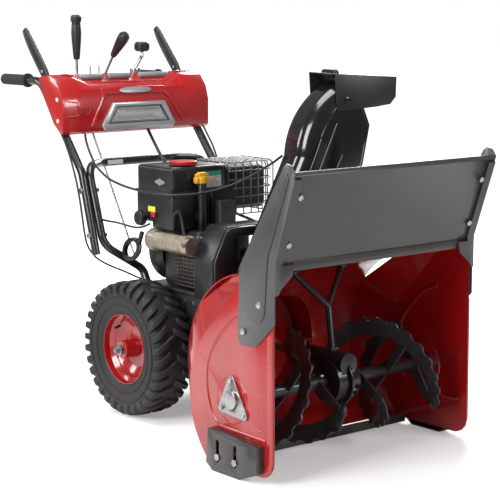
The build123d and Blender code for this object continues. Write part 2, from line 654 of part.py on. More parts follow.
with BuildPart() as recoil_housing:
    disc((0, auger_y + 666, crank_z), (0, 1, 0), 98, engine_back - auger_y - 666)
    fillet(recoil_housing.faces().sort_by(Axis.Y)[-1].edges(), radius=6)
    disc((0, auger_y + 664, crank_z), (0, 1, 0), 94, engine_back - auger_y - 668, mode=Mode.SUBTRACT)
recoil_housing.part.label = "recoil_housing"
export_step(recoil_housing.part, "parts/recoil_housing.step")

with BuildPart() as carburettor_box:
    block((engine_right, engine_front, 578), (4, engine_back - 6, 671))
    block((engine_right, engine_front, 561), (4, auger_y + 658, 580))
    fillet(carburettor_box.edges().filter_by(Axis.Z).sort_by(Axis.Y)[:2], radius=10)
carburettor_box.part.label = "carburettor_box"
export_step(carburettor_box.part, "parts/carburettor_box.step")

with BuildPart() as tank_cover:
    block((engine_right, engine_front, 672), (64, engine_back - 4, 744))
    fillet(tank_cover.edges().filter_by(Axis.Z), radius=14)
    fillet(tank_cover.faces().sort_by(Axis.Z)[-1].edges(), radius=9)
    block((engine_right + 4, engine_front + 4, 660), (60, engine_back - 8, 739), mode=Mode.SUBTRACT)
    disc((-62, auger_y + 606, 700), (0, 0, 1), 26, 60, mode=Mode.SUBTRACT)
    block((engine_right + 9, engine_front + 9, 675), (55, engine_back - 13, 733))
    disc((-62, auger_y + 606, 733), (0, 0, 1), 22, 14)
    block((engine_right + 12, engine_front + 12, 678), (52, engine_back - 16, 730), mode=Mode.SUBTRACT)
    disc((-62, auger_y + 606, 720), (0, 0, 1), 19, 40, mode=Mode.SUBTRACT)
tank_cover.part.label = "fuel_tank_and_cover"
export_step(tank_cover.part, "parts/fuel_tank_and_cover.step")

with BuildPart() as fuel_cap:
    disc((-62, auger_y + 606, 747.4), (0, 0, 1), 40, 11)
    fillet(fuel_cap.faces().sort_by(Axis.Z)[-1].edges(), radius=4)
    disc((-62, auger_y + 606, 736), (0, 0, 1), 18.6, 12)
fuel_cap.part.label = "fuel_cap"
export_step(fuel_cap.part, "parts/fuel_cap.step")

filler = (-46.0, auger_y + 538.0)
with BuildPart() as oil_tube:
    disc((filler[0], filler[1], 556.4), (0, 0, 1), 12, 139.6)
    disc((filler[0], filler[1], 530), (0, 0, 1), 9, 190, mode=Mode.SUBTRACT)
    block((filler[0] - 8, filler[1] + 10, 590), (filler[0] + 8, engine_front - 0.4, 606))
oil_tube.part.label = "oil_filler_tube"
export_step(oil_tube.part, "parts/oil_filler_tube.step")

with BuildPart() as dipstick:
    disc((filler[0], filler[1], 696.4), (0, 0, 1), 15, 20)
    block((filler[0] - 22, filler[1] - 5, 702), (filler[0] + 22, filler[1] + 5, 724))
    disc((filler[0], filler[1], 560), (0, 0, 1), 2.5, 137)
dipstick.part.label = "oil_dipstick"
export_step(dipstick.part, "parts/oil_dipstick.step")

starter_x, starter_z = -140.0, 526.0
with BuildPart() as electric_starter:
    disc((starter_x, auger_y + 479, starter_z), (0, 1, 0), 26, 155)
    with BuildSketch(Plane(origin=(starter_x, auger_y + 461, starter_z), z_dir=(0, 1, 0))):
        RegularPolygon(30, 6)
    extrude(amount=20)
    disc((starter_x + 8, auger_y + 632, starter_z), (0, 1, 0), 33, 31)
electric_starter.part.label = "electric_starter"
export_step(electric_starter.part, "parts/electric_starter.step")

with BuildPart() as choke_knob:
    disc((engine_right - 0.4, auger_y + 692, 588), (-1, 0, 0), 6, 10)
    disc((engine_right - 8, auger_y + 692, 588), (-1, 0, 0), 21, 20)
choke_knob.part.label = "choke_knob"
export_step(choke_knob.part, "parts/choke_knob.step")

with BuildPart() as stop_key:
    block((engine_right - 9, auger_y + 634, 594), (engine_right - 0.4, auger_y + 654, 608))
stop_key.part.label = "stop_key"
export_step(stop_key.part, "parts/stop_key.step")

with BuildPart() as muffler:
    block((84, engine_front + 16, 602), (228, auger_y + 700, 732))
    fillet(muffler.edges(), radius=18)
    disc((70, auger_y + 640, 620), (1, 0, 0), 14, 20)
muffler.part.label = "muffler"
export_step(muffler.part, "parts/muffler.step")

guard_low = (68.0, engine_front, 588.0)
guard_high = (244.0, auger_y + 716.0, 748.0)
wire = 4.0
rows, columns, ribs = 6, 8, 6
guard_size = [guard_high[i] - guard_low[i] for i in range(3)]
with BuildPart() as muffler_guard:
    for i in range(rows):
        z = guard_low[2] + (guard_size[2] - wire) * i / (rows - 1)
        block((guard_low[0], guard_low[1], z), (guard_high[0], guard_low[1] + wire, z + wire))
        block((guard_high[0] - wire, guard_low[1], z), (guard_high[0], guard_high[1], z + wire))
    for i in range(columns):
        x = guard_low[0] + (guard_size[0] - wire) * i / (columns - 1)
        block((x, guard_low[1], guard_low[2]), (x + wire, guard_low[1] + wire, guard_high[2]))
        block((x, guard_low[1], guard_high[2] - wire), (x + wire, guard_high[1], guard_high[2]))
    for i in range(1, ribs):
        y = guard_low[1] + (guard_size[1] - wire) * i / (ribs - 1)
        block((guard_high[0] - wire, y, guard_low[2]), (guard_high[0], y + wire, guard_high[2]))
        block((guard_low[0], y, guard_high[2] - wire), (guard_high[0], y + wire, guard_high[2]))
muffler_guard.part.label = "muffler_guard"
export_step(muffler_guard.part, "parts/muffler_guard.step")

# Recoil starter handle: a closed loop grip that hangs beside the engine, with its rope.
with BuildPart() as recoil_handle:
    grip_plane = Plane(origin=(-163, auger_y + 722, 492), x_dir=(0, 0.85, -0.53), z_dir=(-1, 0, 0))
    with BuildSketch(grip_plane):
        Ellipse(46, 32)
        Ellipse(35, 21, mode=Mode.SUBTRACT)
    extrude(amount=13)
    bar((-169.5, auger_y + 684, 515), (-169.5, auger_y + 668, 548), 7)
recoil_handle.part.label = "recoil_handle"
export_step(recoil_handle.part, "parts/recoil_handle.step")

# ---------------------------------------------------------------- handle
leg_points = [(-105.3, auger_y + 690, 300), (-105.3, auger_y + 758, 422), (-leg_x, auger_y + 792, 502),
              (-leg_x, auger_y + 868, 731), (-140, auger_y + 932, 733)]
u_points = leg_points + [(-x, y, z) for x, y, z in reversed(leg_points)]
with BuildPart() as lower_handle:
    smooth_tube(u_points, [40, 60, 55, 60, 60, 55, 60, 40], tube_radius)
lower_handle.part.label = "lower_handle"
export_step(lower_handle.part, "parts/lower_handle.step")

paddle_y, paddle_z = auger_y + 1046.0, 987.0
with BuildPart() as upper_handles:
    for side in (-1, 1):
        rail = [(side * grip_x, auger_y + 792, 474), (side * grip_x, auger_y + 862, 716),
                (side * grip_x, auger_y + 1084, grip_z), (side * grip_x, auger_y + 1290, grip_z)]
        smooth_tube(rail, [80, 60], tube_radius)
        disc((side * grip_x - 8, paddle_y, paddle_z), (1, 0, 0), 3, 16)
        for cheek in (-8, 4.4):
            block((side * grip_x + cheek, paddle_y - 7, 938), (side * grip_x + cheek + 3.6, paddle_y + 7, 993))
upper_handles.part.label = "upper_handles"
export_step(upper_handles.part, "parts/upper_handles.step")

with BuildPart() as grips:
    for side in (-1, 1):
        disc((side * grip_x, auger_y + 1160, grip_z), (0, 1, 0), 17, 143)
        disc((side * grip_x, auger_y + 1155, grip_z), (0, 1, 0), tube_radius + 0.1, 135.2, mode=Mode.SUBTRACT)
grips.part.label = "handle_grips"
export_step(grips.part, "parts/handle_grips.step")

for side, hand in hands:
    with BuildPart() as clutch_paddle:
        with BuildSketch(Plane.YZ.offset(side * grip_x - 4)):
            with BuildLine():
                Polyline((auger_y + 1039, 996), (auger_y + 1041, 980), (auger_y + 1054, 981),
                         (auger_y + 1132, 1070), (auger_y + 1170, 1124), (auger_y + 1165, 1133),
                         (auger_y + 1154, 1134), (auger_y + 1110, 1082), close=True)
            make_face()
        extrude(amount=8)
        disc((side * grip_x - 6, paddle_y, paddle_z), (1, 0, 0), 3.05, 12, mode=Mode.SUBTRACT)
    clutch_paddle.part.label = f"clutch_paddle_{hand}"
    export_step(clutch_paddle.part, f"parts/clutch_paddle_{hand}.step")

# ---------------------------------------------------------------- control panel
def panel_outline(inset):
    """Side view of the control panel: upright face, rounded top, back sloping along the handle."""
    with BuildLine() as edge:
        Polyline((auger_y + 934, 824 + inset), (auger_y + 923 + inset, 834),
                 (auger_y + 922 + inset, 915), (auger_y + 936 + inset, 958 - inset / 2),
                 (auger_y + 966, 992 - inset), (auger_y + 1000, 1003 - inset),
                 (auger_y + 1052, 995 - inset), (auger_y + 1056 - inset, 978),
                 (auger_y + 1040 - inset, 950), (auger_y + 975, 856 + inset), close=True)
    make_face(edge.edges())


with BuildPart() as control_panel:
    with BuildSketch(Plane.YZ):
        panel_outline(0)
    extrude(amount=panel_half, both=True)
    with BuildSketch(Plane.YZ):
        panel_outline(3)
    extrude(amount=panel_half - 3, both=True, mode=Mode.SUBTRACT)
    for side in (-1, 1):
        bar((side * grip_x, auger_y + 862, 716), (side * grip_x, auger_y + 1084, grip_z), tube_radius + 0.4,
            mode=Mode.SUBTRACT)
        block((side * grip_x - 22, auger_y + 1030, 930), (side * grip_x + 22, auger_y + 1070, 1010),
              mode=Mode.SUBTRACT)
        block((side * grip_x - 22, auger_y + 935, 810), (side * grip_x + 22, auger_y + 1000, 900),
              mode=Mode.SUBTRACT)
    block((-190, auger_y + 1016, 950), (112, auger_y + 1050, 1010), mode=Mode.SUBTRACT)
    block((-215, auger_y + 948, 815), (112, auger_y + 1070, 965), mode=Mode.SUBTRACT)
control_panel.part.label = "control_panel"
export_step(control_panel.part, "parts/control_panel.step")

lever_y = auger_y + 1034.0
deck_top = 1000.0
lever_pivot_z = 968.0
with BuildPart() as console_deck:
    block((-189, auger_y + 1016.4, 984), (111, auger_y + 1049.6, deck_top))
    for x in (-150, -47):
        block((x - 8, lever_y - 18, 970), (x + 8, lever_y + 11, 1010), mode=Mode.SUBTRACT)
    disc((68, lever_y, 970), (0, 0, 1), 8 - 0.05, 50, mode=Mode.SUBTRACT)
    for x in (-101, -69):
        disc((x, lever_y, deck_top - 1), (0, 0, 1), 2.5, 25)
    block((-186, lever_y - 10, lever_pivot_z - 8), (-172, lever_y + 5, deck_top - 10))
    disc((-174, lever_y, lever_pivot_z), (1, 0, 0), 5, 145)
console_deck.part.label = "console_deck"
export_step(console_deck.part, "parts/console_deck.step")

face_y = auger_y + 921.6
lamp_plane = Plane(origin=(0, face_y, 0), x_dir=(1, 0, 0), z_dir=(0, -1, 0))
lamp_outline = ((-97, 916), (97, 916), (138, 846), (128, 833), (-128, 833), (-138, 846))
glass_outline = ((-82, 905), (82, 905), (116, 852), (-116, 852))
with BuildPart() as headlight_bezel:
    slab(lamp_plane, lamp_outline, 9)
    with BuildSketch(lamp_plane) as window:
        with BuildLine():
            Polyline(*glass_outline, close=True)
        make_face()
    extrude(window.sketch, amount=12, mode=Mode.SUBTRACT)
headlight_bezel.part.label = "headlight_bezel"
export_step(headlight_bezel.part, "parts/headlight_bezel.step")

with BuildPart() as headlight_lens:
    slab(lamp_plane, ((-81.6, 904.6), (81.6, 904.6), (115.4, 852.4), (-115.4, 852.4)), 5)
headlight_lens.part.label = "headlight_lens"
export_step(headlight_lens.part, "parts/headlight_lens.step")

with BuildPart() as speed_lever:
    disc((-157, lever_y, lever_pivot_z), (1, 0, 0), 10, 14)
    bar((-150, lever_y, lever_pivot_z), (-150, lever_y, 1060), 4)
    with BuildSketch(Plane(origin=(-150, lever_y, 1048))) as neck:
        Circle(9)
    with BuildSketch(Plane(origin=(-150, lever_y, 1183))) as crown:
        Circle(15)
    loft([neck.sketch, crown.sketch])
    bar((-150, lever_y, lever_pivot_z), (-150, lever_y, 928), 4)
    disc((-160, lever_y, lever_pivot_z), (1, 0, 0), 5 + running_gap, 20, mode=Mode.SUBTRACT)
speed_lever.part.label = "speed_lever"
export_step(speed_lever.part, "parts/speed_lever.step")

with BuildPart() as deflector_lever:
    base = Vector(-47, lever_y, lever_pivot_z)
    knob = Vector(-47, auger_y + 985, 1058)
    top = Vector(-47, auger_y + 920, 1121)
    disc((-54, lever_y, lever_pivot_z), (1, 0, 0), 10, 14)
    bar(tuple(base), (-47, lever_y - 2, 1000), 4)
    bar((-47, lever_y - 2, 998), tuple(knob), 4)
    with BuildSketch(Plane(origin=tuple(knob), z_dir=top - knob)) as neck:
        Circle(9)
    with BuildSketch(Plane(origin=tuple(top), z_dir=top - knob)) as crown:
        Circle(15)
    loft([neck.sketch, crown.sketch])
    disc((-58, lever_y, lever_pivot_z), (1, 0, 0), 5 + running_gap, 20, mode=Mode.SUBTRACT)
deflector_lever.part.label = "deflector_lever"
export_step(deflector_lever.part, "parts/deflector_lever.step")

with BuildPart() as chute_crank:
    disc((68, lever_y, 972), (0, 0, 1), 7.9, 30)
    disc((68, lever_y, deck_top + 0.4), (0, 0, 1), 16, 14)
    bar((68, lever_y, deck_top + 12), (95, lever_y, 1050), 5)
    disc((96, lever_y, 1046), (0, 0, 1), 5, 20)
chute_crank.part.label = "chute_crank"
export_step(chute_crank.part, "parts/chute_crank.step")

with BuildPart() as crank_knob:
    disc((96, lever_y, 1066.3), (0, 0, 1), 22, 30)
    fillet(crank_knob.edges(), radius=7)
crank_knob.part.label = "crank_knob"
export_step(crank_knob.part, "parts/crank_knob.step")

# ---------------------------------------------------------------- rods and cables
with BuildPart() as shift_rod:
    bar((-84, auger_y + 776.8, 357), (-84, auger_y + 975, 690), 3)
    bar((-84, auger_y + 975, 690), (-138, auger_y + 1034, 924), 3)
shift_rod.part.label = "shift_rod"
export_step(shift_rod.part, "parts/shift_rod.step")


def cable(points, radius):
    """Bowden cable along a held route, in straight runs joined by wide arcs."""
    radii = cable_radii(points)
    print("cable radii", [round(r) for r in radii])
    smooth_tube(points, radii, radius)


deflector_route = [(-60, auger_y + 1012, 940), (-118, auger_y + 992, 884), (-178, auger_y + 957, 828),
                   (-200, auger_y + 905, 785), (-198, auger_y + 868, 732), (-194, auger_y + 805, 697),
                   (-188, auger_y + 740, 682), (-184, auger_y + 670, 674), (-176, auger_y + 604, 669),
                   (-148, auger_y + 542, 667), (-92, auger_y + 510, 669), (-30, auger_y + 492, 677),
                   (24, auger_y + 458, 698), (54, auger_y + 404, 731), (66, auger_y + 346, 763),
                   (60, auger_y + 300, 786)]
with BuildPart() as deflector_cable:
    cable(deflector_route, 3.5)
deflector_cable.part.label = "deflector_cable"
export_step(deflector_cable.part, "parts/deflector_cable.step")

drive_route = [(68, auger_y + 1034, 966), (66, auger_y + 1010, 915), (62, auger_y + 980, 850),
               (60, auger_y + 925, 788), (64, auger_y + 880, 730), (95, auger_y + 840, 670),
               (150, auger_y + 805, 620), (205, auger_y + 755, 580), (242, auger_y + 690, 556),
               (252, auger_y + 620, 538), (252, auger_y + 550, 520), (246, auger_y + 480, 500),
               (236, auger_y + 415, 478), (228, auger_y + 355, 456), (210, auger_y + 312, 450),
               (165.5, chute_y + 17, 449)]
throttle_route = [(-224, auger_y + 801, 578), (-205, auger_y + 796, 572), (-182, auger_y + 776, 567),
                  (-168, auger_y + 745, 560), (-160, auger_y + 715, 556), (-152, auger_y + 688, 560),
                  (-143.4, auger_y + 664, 572)]
with BuildPart() as control_cables:
    cable(drive_route, 5)
    cable(throttle_route, 3)
    for side in (-1, 1):
        route = [(side * 267, auger_y + 1040, 962), (side * 267, auger_y + 990, 900),
                 (side * 267, auger_y + 945, 832), (side * 272, auger_y + 890, 760),
                 (side * 272.4, auger_y + 858, 690), (side * 272.2, auger_y + 838, 620),
                 (side * 272, auger_y + 824, 550), (side * 264, auger_y + 822, 500),
                 (side * 238, auger_y + 818, 462), (side * 198, auger_y + 808, 436),
                 (side * 150, auger_y + 792, 414), (side * 112, auger_y + 772, 392),
                 (side * 84, auger_y + 745, 381)]
        cable(route, 3)
control_cables.part.label = "control_cables"
export_step(control_cables.part, "parts/control_cables.step")
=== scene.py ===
import json
import math

import bmesh
import bpy
from mathutils import Matrix, Vector

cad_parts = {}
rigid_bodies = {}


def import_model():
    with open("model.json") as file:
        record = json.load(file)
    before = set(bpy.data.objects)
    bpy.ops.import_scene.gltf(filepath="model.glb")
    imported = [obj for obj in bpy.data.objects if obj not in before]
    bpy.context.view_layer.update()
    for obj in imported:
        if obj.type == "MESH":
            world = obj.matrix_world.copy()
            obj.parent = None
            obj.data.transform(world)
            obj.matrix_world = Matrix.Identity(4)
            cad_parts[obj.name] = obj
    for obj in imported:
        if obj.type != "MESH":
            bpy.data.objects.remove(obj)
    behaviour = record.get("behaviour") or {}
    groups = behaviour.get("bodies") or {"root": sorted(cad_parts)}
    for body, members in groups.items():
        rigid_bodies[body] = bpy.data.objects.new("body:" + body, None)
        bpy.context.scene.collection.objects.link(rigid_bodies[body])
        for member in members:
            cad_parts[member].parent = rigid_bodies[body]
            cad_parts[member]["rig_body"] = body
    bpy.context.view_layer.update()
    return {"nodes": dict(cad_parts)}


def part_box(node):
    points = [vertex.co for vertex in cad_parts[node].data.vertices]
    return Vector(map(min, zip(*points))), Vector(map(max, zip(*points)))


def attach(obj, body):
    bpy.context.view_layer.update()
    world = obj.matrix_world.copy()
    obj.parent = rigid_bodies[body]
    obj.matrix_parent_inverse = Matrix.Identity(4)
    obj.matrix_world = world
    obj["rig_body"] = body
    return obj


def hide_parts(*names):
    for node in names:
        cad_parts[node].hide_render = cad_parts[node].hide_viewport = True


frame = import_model()

# Camera, floor and light. A long portrait lens stands on the machine's right front, a little
# above the headlight, over a plain white studio sweep with soft boxes left, right and behind.
lens = bpy.data.cameras.new("studio_camera")
lens.lens = 114.5
camera = bpy.data.objects.new("studio_camera", lens)
bpy.context.collection.objects.link(camera)
camera.matrix_world = (Matrix.Translation((-2.84624, -3.67868, 1.20829))
                       @ Matrix.Rotation(math.radians(-38.96), 4, "Z")
                       @ Matrix.Rotation(math.radians(90 - 8.73), 4, "X")
                       @ Matrix.Rotation(math.radians(-0.2), 4, "Z"))
bpy.context.scene.camera = camera
bpy.context.scene.view_settings.view_transform = "Standard"


def soft_box(name, place, size, power, aim=(0, 0, 0.45)):
    """A square studio soft box that points at the machine."""
    lamp = bpy.data.lights.new(name, "AREA")
    lamp.shape = "RECTANGLE"
    lamp.size, lamp.size_y = size
    lamp.energy = power
    light = bpy.data.objects.new(name, lamp)
    light.location = place
    light.rotation_euler = (Vector(aim) - Vector(place)).to_track_quat("-Z", "Y").to_euler()
    bpy.context.collection.objects.link(light)


soft_box("key_box", (-3.4, -0.6, 2.2), (1.6, 1.8), 120)
soft_box("front_box", (1.4, -4.0, 2.4), (1.6, 1.2), 60)
soft_box("rim_box", (2.6, 2.0, 2.2), (1.6, 1.6), 110)
soft_box("top_box", (-0.4, 0.2, 3.2), (2.0, 1.6), 75)
soft_box("handle_box", (-2.6, 2.8, 2.0), (1.2, 1.2), 40)


def linear(code):
    """Linear colour of an sRGB hex value."""
    parts = [int(code[i:i + 2], 16) / 255 for i in (0, 2, 4)]
    return tuple(c / 12.92 if c <= 0.04045 else ((c + 0.055) / 1.055) ** 2.4 for c in parts) + (1.0,)


def add_node(tree, kind, links=(), values=(), **settings):
    """One node with its settings, fixed values and the sockets that feed it."""
    node = tree.nodes.new(kind)
    for key, value in settings.items():
        setattr(node, key, value)
    for key, value in dict(values).items():
        node.inputs[key].default_value = value
    for key, source in dict(links).items():
        tree.links.new(source, node.inputs[key])
    return node


world = bpy.data.worlds.new("studio")
bpy.context.scene.world = world
world.use_nodes = True
room = world.node_tree
room.nodes.clear()
seen = add_node(room, "ShaderNodeLightPath")
glow = add_node(room, "ShaderNodeMapRange", {"Value": seen.outputs["Is Camera Ray"]},
                {"To Min": 0.2, "To Max": 1.0})
sky = add_node(room, "ShaderNodeBackground", {"Strength": glow.outputs["Result"]}, {"Color": (1, 1, 1, 1)})
add_node(room, "ShaderNodeOutputWorld", {"Surface": sky.outputs["Background"]})

painted = bpy.data.materials.new("painted_studio_floor")
painted.use_nodes = True
tree = painted.node_tree
tree.nodes.clear()
where = add_node(tree, "ShaderNodeTexCoord")
reach = add_node(tree, "ShaderNodeVectorMath", {0: where.outputs["Object"]}, operation="LENGTH")
fade = add_node(tree, "ShaderNodeMapRange", {"Value": reach.outputs["Value"]},
                {"From Min": 0.6, "From Max": 2.6, "To Min": 0.3, "To Max": 1.0})
seen = add_node(tree, "ShaderNodeLightPath")
shown = add_node(tree, "ShaderNodeMath", {0: fade.outputs["Result"], 1: seen.outputs["Is Camera Ray"]},
                 operation="MULTIPLY")
roller = add_node(tree, "ShaderNodeTexNoise", {"Vector": where.outputs["Object"]}, {"Scale": 250.0})
relief = add_node(tree, "ShaderNodeBump", {"Height": roller.outputs["Fac"]},
                  {"Strength": 1.0, "Distance": 0.00002})
paint = add_node(tree, "ShaderNodeBsdfPrincipled",
                 {"Emission Strength": shown.outputs["Value"], "Normal": relief.outputs["Normal"]},
                 {"Base Color": linear("e9e9e9"), "Roughness": 0.55, "Specular IOR Level": 0.2,
                  "Emission Color": (1, 1, 1, 1)})
add_node(tree, "ShaderNodeOutputMaterial", {"Surface": paint.outputs["BSDF"]})
floor_mesh = bpy.data.meshes.new("studio_floor")
floor_mesh.from_pydata([(-30, -30, 0), (30, -30, 0), (30, 30, 0), (-30, 30, 0)], [], [(0, 1, 2, 3)])
floor_mesh.materials.append(painted)
floor = bpy.data.objects.new("studio_floor", floor_mesh)
bpy.context.collection.objects.link(floor)


# Housing: 3 mm pressed steel sheets, the side plates drawn with a rounded shoulder and a raised
# ring round the auger bearing, spot welded to the rolled wrap and the impeller drum, then sprayed
# with glossy red enamel.
def finish(name, colour, tint, rough, spread, grain, depth, metal=0.0, coat=0.0, wear="808080",
           worn=0.0, patch=140.0, dust=0.0, stretch=(1, 1, 1)):
    """A surface finish. colour and tint mix in soft patches patch mm across, grain (mm) is the size
    of its texture and depth (mm) its height, and worn shows the wear colour along sharp edges."""
    made = bpy.data.materials.new(name)
    made.use_nodes = True
    tree = made.node_tree
    tree.nodes.clear()
    where = add_node(tree, "ShaderNodeTexCoord")
    turned = add_node(tree, "ShaderNodeMapping", {"Vector": where.outputs["Object"]}, {"Scale": stretch})
    broad = add_node(tree, "ShaderNodeTexNoise", {"Vector": where.outputs["Object"]},
                     {"Scale": 1000 / patch, "Detail": 4.0, "Roughness": 0.6})
    fine = add_node(tree, "ShaderNodeTexNoise", {"Vector": turned.outputs["Vector"]},
                    {"Scale": 1000 / grain, "Detail": 3.0, "Roughness": 0.55})
    share = add_node(tree, "ShaderNodeMapRange", {"Value": broad.outputs["Fac"]},
                     {"From Min": 0.35, "From Max": 0.65})
    base = add_node(tree, "ShaderNodeMix", {0: share.outputs["Result"]}, {6: linear(colour), 7: linear(tint)},
                    data_type="RGBA")
    shown = base.outputs[2]
    if worn:
        form = add_node(tree, "ShaderNodeNewGeometry")
        ridge = add_node(tree, "ShaderNodeMapRange", {"Value": form.outputs["Pointiness"]},
                         {"From Min": 0.52, "From Max": 0.62, "To Max": worn})
        chips = add_node(tree, "ShaderNodeMath", {0: ridge.outputs["Result"], 1: fine.outputs["Fac"]},
                         operation="MULTIPLY")
        edged = add_node(tree, "ShaderNodeMix", {0: chips.outputs["Value"], 6: shown}, {7: linear(wear)},
                         data_type="RGBA")
        shown = edged.outputs[2]
    if dust:
        height = add_node(tree, "ShaderNodeSeparateXYZ", {"Vector": where.outputs["Object"]})
        low = add_node(tree, "ShaderNodeMapRange", {"Value": height.outputs["Z"]},
                       {"From Min": 0.16, "From Max": 0.0, "To Max": dust})
        settled = add_node(tree, "ShaderNodeMath", {0: low.outputs["Result"], 1: broad.outputs["Fac"]},
                           operation="MULTIPLY")
        dusty = add_node(tree, "ShaderNodeMix", {0: settled.outputs["Value"], 6: shown},
                         {7: linear("8a8378")}, data_type="RGBA")
        shown = dusty.outputs[2]
    uneven = add_node(tree, "ShaderNodeMath", {0: broad.outputs["Fac"], 1: fine.outputs["Fac"]},
                      operation="MULTIPLY")
    shine = add_node(tree, "ShaderNodeMapRange", {"Value": uneven.outputs["Value"]},
                     {"From Min": 0.12, "From Max": 0.4, "To Min": rough - spread, "To Max": rough + spread})
    relief = add_node(tree, "ShaderNodeBump", {"Height": fine.outputs["Fac"]},
                      {"Strength": 1.0, "Distance": depth / 1000})
    shader = add_node(tree, "ShaderNodeBsdfPrincipled",
                      {"Base Color": shown, "Roughness": shine.outputs["Result"],
                       "Normal": relief.outputs["Normal"]}, {"Metallic": metal, "Coat Weight": coat,
                                                             "Coat Roughness": 0.06})
    add_node(tree, "ShaderNodeOutputMaterial", {"Surface": shader.outputs["BSDF"]})
    return made


def link_piece(name, mesh, material, body, smooth=40):
    """Puts a finished mesh in the scene on its body, shaded smooth up to an angle."""
    for face in mesh.polygons:
        face.use_smooth = True
    mesh.set_sharp_from_angle(angle=math.radians(smooth))
    mesh.materials.clear()
    mesh.materials.append(material)
    piece = bpy.data.objects.new(name, mesh)
    bpy.context.collection.objects.link(piece)
    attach(piece, body)
    return piece


def settled_mesh(worker, name):
    """The evaluated mesh of a work object, which is then removed."""
    bpy.context.view_layer.update()
    graph = bpy.context.evaluated_depsgraph_get()
    mesh = bpy.data.meshes.new_from_object(worker.evaluated_get(graph))
    mesh.name = name
    bpy.data.objects.remove(worker)
    return mesh


def turns(count, closed=False):
    """Angles in even steps round a full turn; closed repeats the first at the end."""
    return [math.tau * k / count for k in range(count + closed)]


def mesh_of(shape, name):
    """Turns a bmesh into a named mesh with its normals outward."""
    bmesh.ops.recalc_face_normals(shape, faces=shape.faces)
    mesh = bpy.data.meshes.new(name)
    shape.to_mesh(mesh)
    shape.free()
    return mesh


def join_rows(shape, rows, closed=False):
    """Walls between rows of four corners, with a face on each end unless the rows close on themselves."""
    for low, high in zip(rows, rows[1:] + rows[:1] if closed else rows[1:]):
        for j in range(4):
            shape.faces.new((low[j], low[(j + 1) % 4], high[(j + 1) % 4], high[j]))
    if not closed:
        shape.faces.new(rows[0])
        shape.faces.new(rows[-1])


def edged(mesh, name, width, steps=2, angle=30):
    """Rounds the sharp edges of a mesh, width in mm."""
    worker = bpy.data.objects.new(name + "_work", mesh)
    bpy.context.collection.objects.link(worker)
    bevel = worker.modifiers.new("edge", "BEVEL")
    bevel.width = width / 1000
    bevel.segments = steps
    bevel.limit_method = "ANGLE"
    bevel.angle_limit = math.radians(angle)
    return settled_mesh(worker, name)


def dressed(node, material, width=0.8, name=None, keep=None, reshape=None):
    """A merged copy of a CAD node with rounded edges and a finish, shown in its place."""
    source = frame["nodes"][node]
    name = name or node + "_shown"
    mesh = source.data.copy()
    shape = bmesh.new()
    shape.from_mesh(mesh)
    bmesh.ops.remove_doubles(shape, verts=shape.verts, dist=0.00002)
    bmesh.ops.dissolve_limit(shape, angle_limit=math.radians(0.8), verts=shape.verts, edges=shape.edges)
    if keep:
        away = [f for f in shape.faces if not keep(f.calc_center_median())]
        bmesh.ops.delete(shape, geom=away, context="FACES")
    if reshape:
        reshape(shape)
    shape.to_mesh(mesh)
    shape.free()
    if width:
        mesh = edged(mesh, name, width)
    piece = link_piece(name, mesh, material, source["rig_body"])
    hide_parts(node)
    return piece


def spot(x, y, z):
    """A place from millimetres; y is counted back from the auger shaft."""
    return Vector((x, y - 530, z)) / 1000


red = finish("sprayed_enamel_red", "a80f12", "980c10", 0.24, 0.05, 3.0, 0.012, coat=0.8, wear="c95a50",
             worn=0.5)
dressed("housing_wrap", red)
dressed("housing_sides", red)
dressed("impeller_drum", red)


def wire_tree(name):
    """Geometry Nodes: a round wire of one radius along the edges of a mesh."""
    tree = bpy.data.node_groups.new(name, "GeometryNodeTree")
    tree.interface.new_socket("Geometry", in_out="INPUT", socket_type="NodeSocketGeometry")
    for label, kind in (("Radius", "NodeSocketFloat"), ("Sides", "NodeSocketInt"),
                        ("Finish", "NodeSocketMaterial")):
        tree.interface.new_socket(label, in_out="INPUT", socket_type=kind)
    tree.interface.new_socket("Geometry", in_out="OUTPUT", socket_type="NodeSocketGeometry")
    inlet = add_node(tree, "NodeGroupInput")
    line = add_node(tree, "GeometryNodeMeshToCurve", {"Mesh": inlet.outputs["Geometry"]})
    ring = add_node(tree, "GeometryNodeCurvePrimitiveCircle",
                    {"Resolution": inlet.outputs["Sides"], "Radius": inlet.outputs["Radius"]})
    skin = add_node(tree, "GeometryNodeCurveToMesh", {"Curve": line.outputs["Curve"],
                                                      "Profile Curve": ring.outputs["Curve"]},
                    {"Fill Caps": True})
    real = add_node(tree, "GeometryNodeRealizeInstances", {"Geometry": skin.outputs["Mesh"]})
    coated = add_node(tree, "GeometryNodeSetMaterial",
                      {"Geometry": real.outputs["Geometry"], "Material": inlet.outputs["Finish"]})
    add_node(tree, "NodeGroupOutput", {"Geometry": coated.outputs["Geometry"]})
    return tree


